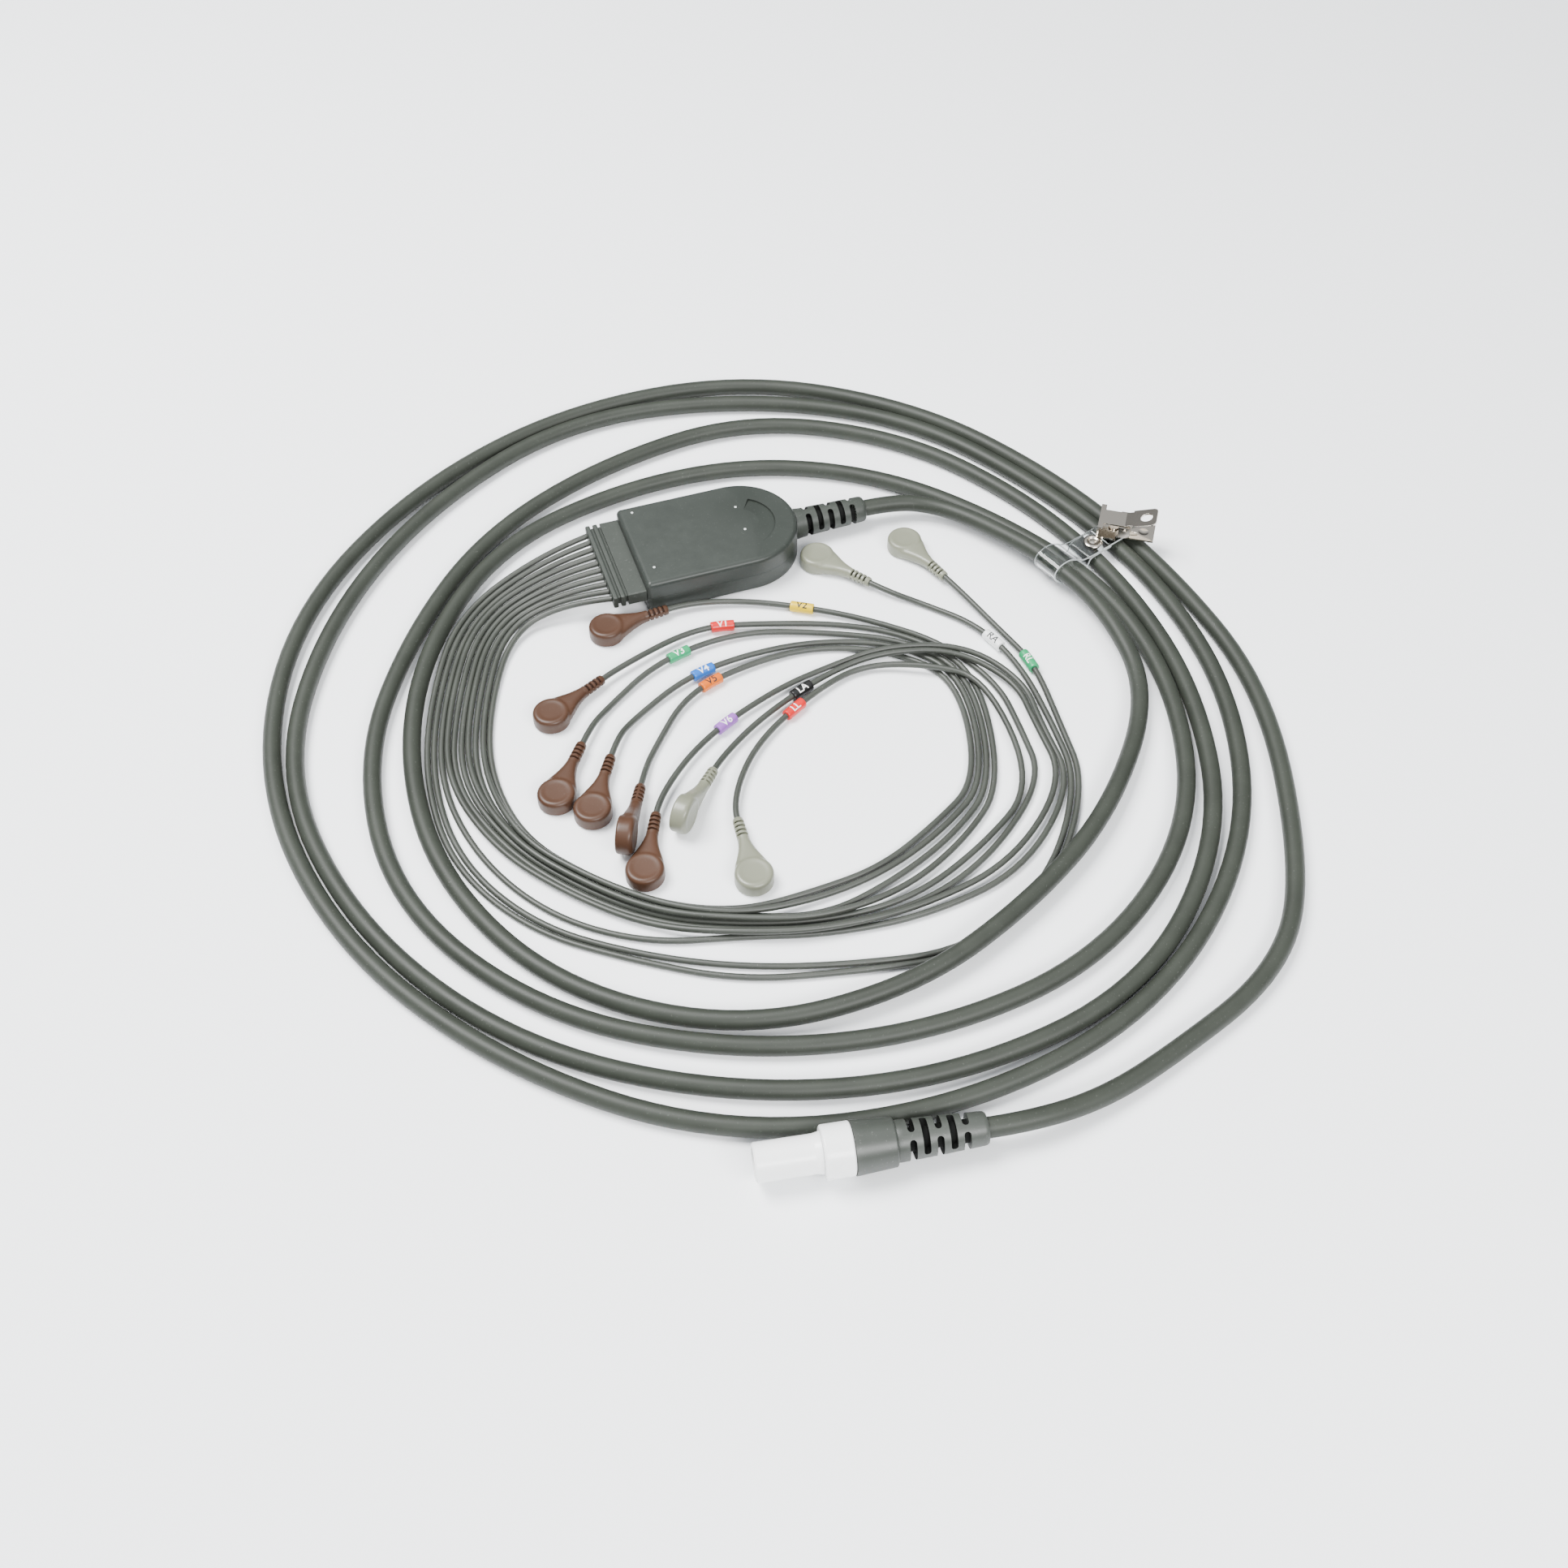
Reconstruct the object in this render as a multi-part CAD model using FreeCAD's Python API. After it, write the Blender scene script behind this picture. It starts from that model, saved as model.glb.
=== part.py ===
import FreeCAD, Part
import math
import os

# Ten-lead ECG patient cable: a flat junction yoke, ten snap leads, a coiled trunk cable,
# a round 12-way plug and a garment clip on a clear strap.
# Millimetres, +Z up.  The yoke stands on the origin, +X points at its trunk cable.

V = FreeCAD.Vector
os.makedirs("parts", exist_ok=True)

# ---- driving sizes ----------------------------------------------------------------------
YOKE_BACK = -28.5          # square end of the housing
YOKE_LEN = 71.0            # housing, end to end
YOKE_W = 49.0              # housing width; the round end has half this radius
YOKE_H = 16.0              # housing height
WALL = 2.0                 # housing wall
SPLIT = 8.0                # height of the joint line between the two shells
SEAM = 0.05                # half the gap at the joint line
RIM_R = 2.0                # rounding of the top rim
BASE_R = 1.2               # rounding of the bottom rim
FIT = 0.1                  # clearance of a piece seated in the housing
LIP_T = 0.9                # locating lip of the lower shell
LIP_UP = 1.2               # how far the lip reaches into the upper shell
GRIP_R = 15.3              # thumb recess, an arc about the centre of the round end
GRIP_W = 7.0
GRIP_DEEP = 0.9

COMB_OUT = 14.0            # lead comb, beyond the housing
COMB_W = 46.0
COMB_T = 5.6
COMB_Z = 9.0
RIBS = 2
RIB_T = 2.0                # comb ribs and the grooves between them
GROOVE_T = 1.1
GROOVE_DEEP = 1.2
FLANGE_T = 3.0             # flange that holds the comb inside the housing
LEAD_PITCH = 4.4
LEAD_D = 2.4
LEAD_COUNT = 10

TRUNK_D = 7.0
TRUNK_Z = 8.0
RELIEF_LEN = 31.0          # strain relief on the housing
RELIEF_BIG = 12.8
RELIEF_SMALL = 10.8
CORE_D = 8.4               # solid core left at the relief slots
SLOT_W = 2.1
SLOT_PITCH = 4.9
SLOTS = 5
TAIL_D = 5.6               # stripped end of the trunk inside the housing
FERRULE_D = 7.6

BOARD = (46.0, 38.0, 1.2)
BOARD_X = 2.0
BOARD_Z = 5.6
PIN_R = 0.35

PLUG_END = (7.0, -291.0)   # where the trunk goes into the plug's strain relief
PLUG_HEADING = 170.7       # the way the plug points
PLUG_Z = 9.0
PLUG_RELIEF_LEN = 29.8
PLUG_RELIEF_BIG = 13.8
PLUG_RELIEF_SMALL = 10.8
PLUG_SLOT_PITCH = 4.4
PLUG_BODY_LEN = 13.6
PLUG_BODY_BIG = 17.8
PLUG_BODY_SMALL = 15.8
COLLAR_LEN = 10.0
COLLAR_D = 17.5
NOSE_LEN = 21.7
NOSE_D = 12.8
NOSE_WALL = 1.3
NOSE_IN = 14.0             # nose inside the collar and body
RECESS = 1.2               # contact face behind the nose rim
CONTACT_R = 0.6
CONTACT_BORE = 0.35
PLUG_EXIT = 14.0           # straight cable behind the plug

SNAP_D = 14.4
SNAP_T = 6.4
SNAP_REACH = 26.5          # head centre to relief end
SNAP_RELIEF = 10.0
SNAP_AXIS = 3.6            # height of the relief axis over the flat face
SNAP_RELIEF_BIG = 4.6
SNAP_RELIEF_SMALL = 3.8
SOCKET_R = 2.05            # takes the 4 mm stud of an electrode
SOCKET_WALL = 0.7
SOCKET_DEPTH = 3.4
SNAP_EXIT = 9.5            # straight lead behind a snap
EDGE_TIP = 7.8             # degrees that a snap on its edge tips down

SLEEVE_D = 4.4
SLEEVE_LEN = 9.6
SLEEVE_FIT = 0.1

STRAP_AT = (134.0, -59.5)  # where the strap's loop begins
STRAP_HEADING = 19.2
STRAP_W = 12.0
STRAP_T = 0.8
STUD_AT = 24.2             # press stud and rivet, along the strap
RIVET_AT = 36.0
STRAP_END = 42.5
STRAP_Z = 8.6              # middle of the upper layer
CAP_D = 8.0                # press stud
CAP_T = 0.6
LAYER = 0.9                # upper layer to lower layer at the stud
CLIP_HEADING = -33.0
JAW = 6.5                  # clip, each way from the rivet
WING = 17.0
JAW_W = 15.0
WING_W = 10.5
PLATE = 0.7
HINGE_AT = 4.6
HINGE_UP = 2.6
HINGE_R = 0.75
HINGE_FIT = 0.12
WING_TILT = 20.0

TRUNK = [
    (89, -0.6, 8), (103, -7, 7.2), (114, -19, 7.7), (124, -35.5, 8.8),
    (133.5, -53, 9.5), (145, -89, 9), (143.5, -133, 4), (103.5, -182.5, 6.5),
    (59.5, -211.5, 6.5), (6, -232.5, 6.5), (-56, -228.5, 4),
    (-110, -191.5, 3.5), (-138, -133, 3.5), (-138, -70.5, 3.5), (-117.5, -14, 3.5),
    (-77, 32.5, 3.5), (-19, 50.5, 3.5), (39, 48.5, 3.5), (91, 22, 3.5), (127.5, -22.5, 4.2),
    (153, -75.5, 5), (154, -136.5, 3.5), (128.5, -199, 3.5), (73, -241, 3.5),
    (5.5, -250, 3.5), (-60, -235.5, 3.5), (-118, -199.5, 3.5), (-155, -138.5, 3.5),
    (-153.5, -68, 3.5), (-124, -9.5, 3.5), (-82.5, 39.5, 3.5), (-24, 68.5, 3.5),
    (45.5, 79, 3.5), (108, 44, 3.5), (144.5, -12.5, 3.5), (161.5, -74, 3.5),
    (161, -139, 3.5), (137, -206, 3.5), (81, -257.5, 3.5), (5, -268.5, 3.5),
    (-67, -250.5, 3.5), (-129.5, -209, 3.5), (-170.5, -144, 3.5), (-184, -65.5, 3.5),
    (-154.5, 9, 3.5), (-102, 66.5, 3.5), (-30, 104, 3.5), (50, 93.5, 3.5),
    (116.5, 55.5, 3.5), (154.5, -7, 3.5), (175, -72.5, 3.5), (174, -144, 3.5),
    (144, -213, 3.5), (83.5, -264, 3.5), (5.5, -280, 3.5), (-73.5, -264.5, 3.5),
    (-135.5, -214, 3.5), (-178, -146.5, 3.5), (-191.5, -65, 3.5), (-167, 16, 3.5),
    (-108, 76, 3.5), (-31.5, 110, 3.5), (53, 107.5, 3.5), (122, 61.5, 3.5),
    (161.5, -3, 3.5), (182, -72, 3.5), (187.5, -146.5, 3.5), (155.5, -231.5, 3.5),
    (126, -266, 3.5), (72, -285, 3.5), (46, -291.5, 5)]

# name, snap head centre, heading from head to lead, lying on its edge, sleeve distance
# from the snap's relief, route points between the comb and the snap
LEADS = [
    ("v5", (-69, -138.5), 64.4, True, 61, [
        (-62, -14.5, 7.3), (-85, -19, 2), (-102.5, -57, 1.3), (-109.5, -90, 1.3),
        (-104.5, -123.5, 1.3), (-85.5, -149, 1.3), (-65, -168, 1.3), (-39.5, -180, 1.3),
        (-12, -180, 1.3), (14.5, -177.5, 1.3), (40, -165.5, 1.3), (64, -150.5, 1.3),
        (76.5, -100, 1.3), (58.5, -78, 1.3), (30, -65, 1.3), (1.5, -66, 2.2),
        (-27.5, -74, 2.6), (-47.5, -97, 1.3)]),
    ("v4", (-77.5, -120), 60.2, False, 60, [
        (-62.5, -11, 7.3), (-87.5, -17, 2.5), (-104.5, -55.5, 1.8), (-112, -89, 1.9),
        (-106, -125.5, 4.4), (-86.5, -150.5, 4.4), (-65, -170.5, 4.3), (-40, -183, 4.3),
        (-11.5, -184, 1.9), (16, -180, 1.8), (43, -168.5, 1.7), (66.5, -152, 1.7),
        (79.5, -99.5, 1.6), (62, -75, 1.5), (32, -62.5, 1.5), (3, -61, 2.3),
        (-25, -65.5, 2.7), (-51.5, -80, 1.3)]),
    ("v3", (-88.5, -109), 54.6, False, 63, [
        (-62.5, -8, 7.3), (-90, -15, 1.9), (-107, -54, 1.3), (-115.5, -89.5, 1.3),
        (-107.5, -124.5, 1.3), (-88, -150.5, 1.3), (-66.5, -171, 1.3), (-40, -182, 1.3),
        (-12, -191.5, 1.3), (17.5, -184.5, 1.3), (45.5, -172, 1.3), (69, -153.5, 1.3),
        (82.5, -99, 1.3), (65, -73.5, 1.3), (36.5, -59, 1.3), (2, -47.5, 2.2),
        (-33.5, -53.5, 2.6), (-60, -71.5, 1.3)]),
    ("v1", (-80.5, -69), 27.2, False, 56, [
        (-63, -4.5, 7.3), (-92, -13.5, 2.5), (-109.5, -53, 2.1), (-118, -88.5, 2.2),
        (-108.5, -126.5, 4.6), (-89, -152.5, 4.6), (-67.5, -173, 4.6), (-41, -185, 4.6),
        (-13, -194, 4.6), (19.5, -190, 2.1), (48.5, -175.5, 1.8), (71.5, -155.5, 1.5),
        (85.5, -98.5, 1.3), (68.5, -72.5, 1.3), (44.5, -56.5, 1.3), (12.5, -46.5, 2.4),
        (-13.5, -40, 2.4)]),
    ("ll", (-30.5, -168), 85.2, False, 64, [
        (-63, -1, 7.3), (-94, -11.5, 1.9), (-111.5, -51.5, 1.3), (-121, -88.5, 1.3),
        (-110, -125, 1.3), (-90.5, -152, 1.3), (-68, -173, 1.3), (-41.5, -185, 1.3),
        (-12.5, -193.5, 1.3), (20, -194.5, 1.5), (52.5, -181, 1.7), (83, -160, 1.9),
        (86, -105.5, 3.9), (68, -92, 4.6), (43.5, -81, 2), (20.5, -89, 2.7),
        (-9.5, -106.5, 2.2)]),
    ("v2", (-48, -30.5), 6.2, False, 57, [
        (-63.5, 2.5, 7.3), (-96, -9.5, 1.9), (-114, -50, 1.3), (-124, -88, 1.3),
        (-112.5, -125.5, 1.3), (-93, -153.5, 1.3), (-70, -175, 1.3), (-42, -188, 1.3),
        (-12, -196.5, 1.3), (22.5, -198, 1.3), (55.5, -185, 1.3), (87, -158, 1.3),
        (89.5, -131.5, 1.3), (90.5, -107, 1.3), (78, -79, 1.3), (56.5, -60, 2.2),
        (37, -46.5, 2.6), (12, -32, 2)]),
    ("la", (-46.5, -136), 49.7, True, 56, [
        (-64, 6, 7.3), (-97.5, -7.5, 2.8), (-116.5, -49.5, 2.6), (-126, -87.5, 2.6),
        (-115.5, -126, 2.6), (-95, -154.5, 2.6), (-71.5, -177, 2.6), (-43, -191, 5),
        (-13.5, -199.5, 5), (22, -199.5, 2.6), (60.5, -191.5, 2.5), (94.5, -161.5, 2.4),
        (95, -132.5, 3.5), (97, -109.5, 2.8), (80, -87.5, 5), (53.5, -79.5, 4.7),
        (30.5, -81, 3.1), (-1.5, -94, 2.5)]),
    ("v6", (-67, -153.5), 65.2, False, 51, [
        (-64, 9.5, 7.3), (-99.5, -6, 1.8), (-118.5, -47.5, 1.3), (-128.5, -87, 1.3),
        (-122.5, -127, 1.3), (-104, -160.5, 1.3), (-75, -182.5, 1.4), (-42.5, -190.5, 1.4),
        (-12.5, -199.5, 1.4), (23, -203, 1.5), (63.5, -195.5, 1.5), (97, -163.5, 1.5),
        (97.5, -133.5, 2), (100.5, -110, 2), (85.5, -86, 4.1), (55.5, -76.5, 4.5),
        (31.5, -77.5, 2), (6, -83, 2.4), (-28, -98.5, 2.7)]),
    ("ra", (46.5, -18), -54.1, False, 60, [
        (-64.5, 13, 7.3), (-101.5, -4, 2), (-121, -46, 1.3), (-131, -86, 1.3),
        (-129, -127, 1.3), (-109.5, -163, 1.3), (-79, -186, 1.3), (-47, -202.5, 1.3),
        (-11.5, -213.5, 1.3), (31, -221.5, 1.4), (71, -201.5, 1.4), (99, -163, 1.4),
        (101.5, -135, 2.1), (102.5, -103, 2.5), (95.5, -76, 2.5), (78.5, -55.5, 1.3)]),
    ("rl", (84.5, -21), -72.3, False, 58, [
        (-64.5, 16.5, 7.3), (-103.5, -2, 2), (-123.5, -45, 1.3), (-133.5, -85.5, 1.3),
        (-132, -128, 1.3), (-112, -164.5, 1.3), (-81, -188, 1.3), (-49, -207.5, 1.3),
        (-12, -216.5, 1.3), (32, -224, 1.3), (73, -203.5, 1.3), (101.5, -164.5, 1.3),
        (104.5, -136, 1.9), (108, -103, 2.6), (102.5, -80.5, 2.2)])]

X = V(1, 0, 0)
Y = V(0, 1, 0)
Z = V(0, 0, 1)


def save(shape, node):
    shape.exportStep("parts/" + node + ".step")


def box(x0, x1, y0, y1, z0, z1):
    return Part.makeBox(x1 - x0, y1 - y0, z1 - z0, V(x0, y0, z0))


def rod(x0, x1, d0, d1=None, y=0.0, z=0.0):
    """A round or tapered bar along X, from diameter d0 at x0 to d1 at x1."""
    if d1 is None or abs(d1 - d0) < 1e-9:
        return Part.makeCylinder(d0 / 2, x1 - x0, V(x0, y, z), X)
    return Part.makeCone(d0 / 2, d1 / 2, x1 - x0, V(x0, y, z), X)


def place(shape, at, heading, pitch=0.0):
    out = shape.copy()
    out.rotate(V(0, 0, 0), Y, pitch)
    out.rotate(V(0, 0, 0), Z, heading)
    out.translate(at)
    return out


def path(points):
    """Straight runs joined by tangent arcs, as large as the runs allow."""
    edges = []
    radii = []
    start = points[0]
    for a, b, c in zip(points, points[1:], points[2:]):
        to_a = (a - b).normalize()
        to_c = (c - b).normalize()
        turn = math.pi - to_a.getAngle(to_c)
        cut = 0.45 * min((a - b).Length, (c - b).Length)
        radius = cut / math.tan(turn / 2)
        p = b + to_a * cut
        q = b + to_c * cut
        out = (to_a + to_c).normalize()
        mid = b + out * (radius / math.cos(turn / 2) - radius)
        edges.append(Part.LineSegment(start, p).toShape())
        edges.append(Part.Arc(p, mid, q).toShape())
        radii.append(radius)
        start = q
    edges.append(Part.LineSegment(start, points[-1]).toShape())
    return edges, radii


def cable(points, d, name):
    edges, radii = path(points)
    wire = Part.Wire(edges)
    ring = Part.Wire([Part.Circle(points[0], points[1] - points[0], d / 2).toShape()])
    solid = wire.makePipeShell([ring], True, True)
    want = math.pi * d * d / 4 * wire.Length
    print(name, "length %.0f" % wire.Length, "smallest radius %.1f" % min(radii),
          "volume / section x length %.4f" % (solid.Volume / want))
    return solid, edges


def along(edges, back):
    """The point that lies `back` before the end of a path."""
    for e in reversed(edges):
        if back <= e.Length:
            return e.valueAt(e.LastParameter - (e.LastParameter - e.FirstParameter) * back / e.Length)
        back -= e.Length


# ---- yoke housing -----------------------------------------------------------------------
ROUND_X = YOKE_BACK + YOKE_LEN - YOKE_W / 2
FRONT = YOKE_BACK + YOKE_LEN


def outline(inset, z0, z1):
    r = YOKE_W / 2 - inset
    x = YOKE_BACK + inset
    a = V(x, -r, z0)
    b = V(ROUND_X, -r, z0)
    c = V(ROUND_X + r, 0, z0)
    d = V(ROUND_X, r, z0)
    e = V(x, r, z0)
    lines = [Part.LineSegment(a, b).toShape(), Part.Arc(b, c, d).toShape(),
             Part.LineSegment(d, e).toShape(), Part.LineSegment(e, a).toShape()]
    return Part.Face(Part.Wire(lines)).extrude(V(0, 0, z1 - z0))


def rim(shape, z, r):
    edges = [e for e in shape.Edges if all(abs(v.Point.z - z) < 1e-6 for v in e.Vertexes)]
    return shape.makeFillet(r, edges)


def upright(shape, r):
    edges = [e for e in shape.Edges if len(e.Vertexes) == 2
             and abs(e.tangentAt(e.FirstParameter).z) > 0.99
             and abs(e.Vertexes[0].Point.x - YOKE_BACK) < 1e-6]
    return shape.makeFillet(r, edges)


neck_half = COMB_W / 2 - GROOVE_DEEP
neck_t = COMB_T - 2 * GROOVE_DEEP
comb_slot = box(YOKE_BACK - 1, YOKE_BACK + WALL + 1, -neck_half - FIT, neck_half + FIT,
                COMB_Z - neck_t / 2 - FIT, COMB_Z + neck_t / 2 + FIT)
relief_hole = rod(FRONT - WALL - 2, FRONT + 1, CORE_D + 2 * FIT, z=TRUNK_Z)
top = upright(outline(0, SPLIT + SEAM, YOKE_H), RIM_R)
top = rim(top, YOKE_H, RIM_R)
top = top.cut(outline(WALL, SPLIT, YOKE_H - WALL))
grip_ring = Part.makeCylinder(GRIP_R, GRIP_DEEP + 1, V(ROUND_X, 0, YOKE_H - GRIP_DEEP)).cut(
    Part.makeCone(GRIP_R, GRIP_R - GRIP_W, GRIP_DEEP, V(ROUND_X, 0, YOKE_H - GRIP_DEEP)))
grip_side = Part.makeCylinder(GRIP_R + 2, GRIP_DEEP + 3, V(ROUND_X, 0, YOKE_H - GRIP_DEEP - 1),
                              Z, 123)
grip_side.rotate(V(ROUND_X, 0, 0), Z, -65)
grip_mid = Part.makeCylinder(GRIP_R - GRIP_W, GRIP_DEEP + 3, V(ROUND_X, 0, YOKE_H - GRIP_DEEP - 1))
top = top.cut(grip_ring.common(grip_side).cut(grip_mid))
top = top.cut(comb_slot).cut(relief_hole)
save(top, "yoke_top_shell")

bottom = upright(outline(0, 0, SPLIT - SEAM), RIM_R)
bottom = rim(bottom, 0, BASE_R)
bottom = bottom.cut(outline(WALL, WALL, SPLIT + 1))
lip = outline(WALL + FIT, SPLIT - 3, SPLIT + LIP_UP).cut(
    outline(WALL + FIT + LIP_T, SPLIT - 4, SPLIT + LIP_UP + 1))
lip = lip.fuse(outline(WALL - 0.5, SPLIT - 3, SPLIT - 1).cut(
    outline(WALL + FIT + LIP_T, SPLIT - 4, SPLIT)))
bottom = bottom.fuse(lip)
BOSSES = [(BOARD_X + sx * (BOARD[0] / 2 - 9), sy * (BOARD[1] / 2 - 4))
          for sx in (-1, 1) for sy in (-1, 1)]
for x, y in BOSSES:
    bottom = bottom.fuse(Part.makeCylinder(2.2, BOARD_Z - WALL + 0.5, V(x, y, WALL - 0.5)))
inside_gap = box(YOKE_BACK + WALL - 0.2, YOKE_BACK + WALL + FLANGE_T + 2 * FIT, -YOKE_W / 2 + WALL,
                 YOKE_W / 2 - WALL, WALL + 1.2, YOKE_H)
cable_gap = rod(FRONT - WALL - FLANGE_T - 2 * FIT, FRONT - WALL, RELIEF_BIG + 2 * FIT, z=TRUNK_Z)
bottom = bottom.cut(comb_slot).cut(relief_hole).cut(inside_gap).cut(cable_gap)
bottom = bottom.removeSplitter()
save(bottom, "yoke_bottom_shell")

PIPS = [(-22.5, 20.0), (19.6, 9.5), (19.2, -4.9), (-22.9, -14.9)]
pips = [Part.makeCylinder(0.55, 0.15, V(x, y, YOKE_H)) for x, y in PIPS]
save(Part.makeCompound(pips), "top_pips")

# ---- board inside the housing -----------------------------------------------------------
board = box(BOARD_X - BOARD[0] / 2, BOARD_X + BOARD[0] / 2, -BOARD[1] / 2, BOARD[1] / 2,
            BOARD_Z, BOARD_Z + BOARD[2])
lead_pins = []
resistors = []
for k in range(LEAD_COUNT):
    y = (k - (LEAD_COUNT - 1) / 2) * 3.6
    x = BOARD_X - BOARD[0] / 2 + 3
    lead_pins.append(Part.makeCylinder(PIN_R, BOARD[2] + 3, V(x, y, BOARD_Z - 1)))
    resistors.append(box(x + 6, x + 9.2, y - 0.8, y + 0.8, BOARD_Z + BOARD[2],
                         BOARD_Z + BOARD[2] + 0.6))
trunk_pins = []
for k in range(12):
    x = BOARD_X + BOARD[0] / 2 - 3 - 3 * (k % 2)
    trunk_pins.append(Part.makeCylinder(PIN_R, BOARD[2] + 3, V(x, (k - 5.5) * 2, BOARD_Z - 1)))
for p in lead_pins + trunk_pins:
    c = p.CenterOfMass
    board = board.cut(Part.makeCylinder(PIN_R + 0.05, BOARD[2] + 2, V(c.x, c.y, BOARD_Z - 1)))
save(board, "junction_board")
save(Part.makeCompound(lead_pins), "lead_pins")
save(Part.makeCompound(trunk_pins), "trunk_pins")
save(Part.makeCompound(resistors), "protection_resistors")

# ---- lead comb ---------------------------------------------------------------------------
comb_x = YOKE_BACK - COMB_OUT
comb = box(comb_x, YOKE_BACK + WALL + FIT, -neck_half, neck_half,
           COMB_Z - neck_t / 2, COMB_Z + neck_t / 2)
for k in range(RIBS):
    x = comb_x + k * (RIB_T + GROOVE_T)
    rib = box(x, x + RIB_T, -COMB_W / 2, COMB_W / 2, COMB_Z - COMB_T / 2, COMB_Z + COMB_T / 2)
    comb = comb.fuse(rib.makeFillet(0.6, rib.Edges))
collar_x = comb_x + RIBS * (RIB_T + GROOVE_T)
collar = box(collar_x, YOKE_BACK - 0.05, -COMB_W / 2 + 0.2, COMB_W / 2 - 0.2,
             COMB_Z - COMB_T / 2, COMB_Z + COMB_T / 2)
comb = comb.fuse(collar.makeFillet(0.5, [e for e in collar.Edges
                                         if abs(e.tangentAt(e.FirstParameter).x) > 0.9]))
comb = comb.fuse(box(YOKE_BACK + WALL + FIT, YOKE_BACK + WALL + FLANGE_T, -neck_half,
                     neck_half, COMB_Z - COMB_T / 2 - 1.2, COMB_Z + COMB_T / 2 + 1.2))
save(comb.removeSplitter(), "lead_comb")

# ---- strain reliefs ----------------------------------------------------------------------


def slotted(shape, stations, width, core, z):
    """Cuts ring slots that leave two bridges each, turned by the station's angle."""
    for x, turn, bridge in stations:
        ring = rod(x, x + width, 30, z=z).cut(rod(x - 1, x + width + 1, core, z=z))
        web = box(x - 1, x + width + 1, -bridge / 2, bridge / 2, z - 20, z + 20)
        web.rotate(V(0, 0, z), X, turn)
        shape = shape.cut(ring.cut(web))
    return shape


relief = rod(FRONT, FRONT + RELIEF_LEN, RELIEF_BIG, RELIEF_SMALL, z=TRUNK_Z)
relief = relief.fuse(rod(FRONT - 1.5, FRONT, RELIEF_BIG, z=TRUNK_Z))
relief = relief.cut(outline(-0.05, -1, YOKE_H + 1)).removeSplitter()
flange_r = RELIEF_BIG / 2 - 1
inner_wall = ROUND_X + math.sqrt((YOKE_W / 2 - WALL) ** 2 - flange_r ** 2) - FIT
relief = relief.fuse(rod(FRONT - WALL - FLANGE_T, FRONT + 1, CORE_D, z=TRUNK_Z))
relief = relief.fuse(rod(FRONT - WALL - FLANGE_T, inner_wall, 2 * flange_r, z=TRUNK_Z))
end = [e for e in relief.Edges if e.Closed and abs(e.CenterOfMass.x - FRONT - RELIEF_LEN) < 1e-6]
relief = relief.makeFillet(0.8, end)
stations = [(FRONT + 3.4 + k * SLOT_PITCH, (-35, 35)[k % 2], 3.2) for k in range(SLOTS)]
relief = slotted(relief, stations, SLOT_W, CORE_D, TRUNK_Z)
tail_x = FRONT - WALL - FLANGE_T - 9
relief = relief.cut(rod(tail_x, FRONT, TAIL_D + 2 * FIT, z=TRUNK_Z))
save(relief.removeSplitter(), "trunk_relief")
tail = rod(tail_x, FRONT - 0.1, TAIL_D, z=TRUNK_Z)
save(tail, "trunk_tail")
ferrule = rod(tail_x + 2.5, tail_x + 8, FERRULE_D, z=TRUNK_Z).cut(
    rod(tail_x, tail_x + 10, TAIL_D + FIT, z=TRUNK_Z))
save(ferrule, "crimp_ferrule")

# ---- plug --------------------------------------------------------------------------------
plug_at = V(PLUG_END[0], PLUG_END[1], PLUG_Z)
body_x = PLUG_RELIEF_LEN
collar_x = body_x + PLUG_BODY_LEN
nose_x = collar_x + COLLAR_LEN
tip_x = nose_x + NOSE_LEN

p_relief = rod(0, PLUG_RELIEF_LEN, PLUG_RELIEF_SMALL, PLUG_RELIEF_BIG)
p_relief = p_relief.makeFillet(0.8, [e for e in p_relief.Edges if e.Closed
                                     and abs(e.CenterOfMass.x) < 1e-6])
p_relief = slotted(p_relief, [(6.5 + k * PLUG_SLOT_PITCH, (0, 90)[k % 2], 3.0)
                              for k in range(5)], 2.0, CORE_D + 0.6, 0)
p_relief = p_relief.fuse(rod(PLUG_RELIEF_LEN, PLUG_RELIEF_LEN + 2.5, PLUG_RELIEF_BIG - 2))
p_relief = p_relief.removeSplitter()
p_body = rod(body_x, collar_x, PLUG_BODY_SMALL, PLUG_BODY_BIG)
p_body = p_body.makeFillet(0.8, [e for e in p_body.Edges if e.Closed
                                 and abs(e.CenterOfMass.x - body_x) < 1e-6])
p_body = p_body.cut(rod(body_x - 1, body_x + 2.6, PLUG_RELIEF_BIG - 2 + 2 * FIT))
p_body = p_body.cut(rod(body_x + 2.5, collar_x + 1, NOSE_D + 2 * FIT))
p_collar = rod(collar_x + 0.05, nose_x, COLLAR_D)
p_collar = p_collar.makeFillet(0.9, [e for e in p_collar.Edges if e.Closed])
p_collar = p_collar.cut(rod(collar_x - 1, nose_x + 1, NOSE_D + 2 * FIT))
nose = rod(nose_x - NOSE_IN, tip_x, NOSE_D)
nose = nose.makeChamfer(0.5, [e for e in nose.Edges if e.Closed
                              and abs(e.CenterOfMass.x - tip_x) < 1e-6])
nose = nose.fuse(rod(nose_x + 0.05, nose_x + 2.4, NOSE_D + 0.9, NOSE_D))
nose = nose.cut(rod(nose_x - NOSE_IN - 1, tip_x + 1, NOSE_D - 2 * NOSE_WALL))
nose = nose.removeSplitter()
insulator = rod(nose_x - NOSE_IN + 1, tip_x - RECESS, NOSE_D - 2 * NOSE_WALL - 2 * 0.03)
contacts = []
RING = (NOSE_D / 2 - NOSE_WALL) * 0.68
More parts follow.
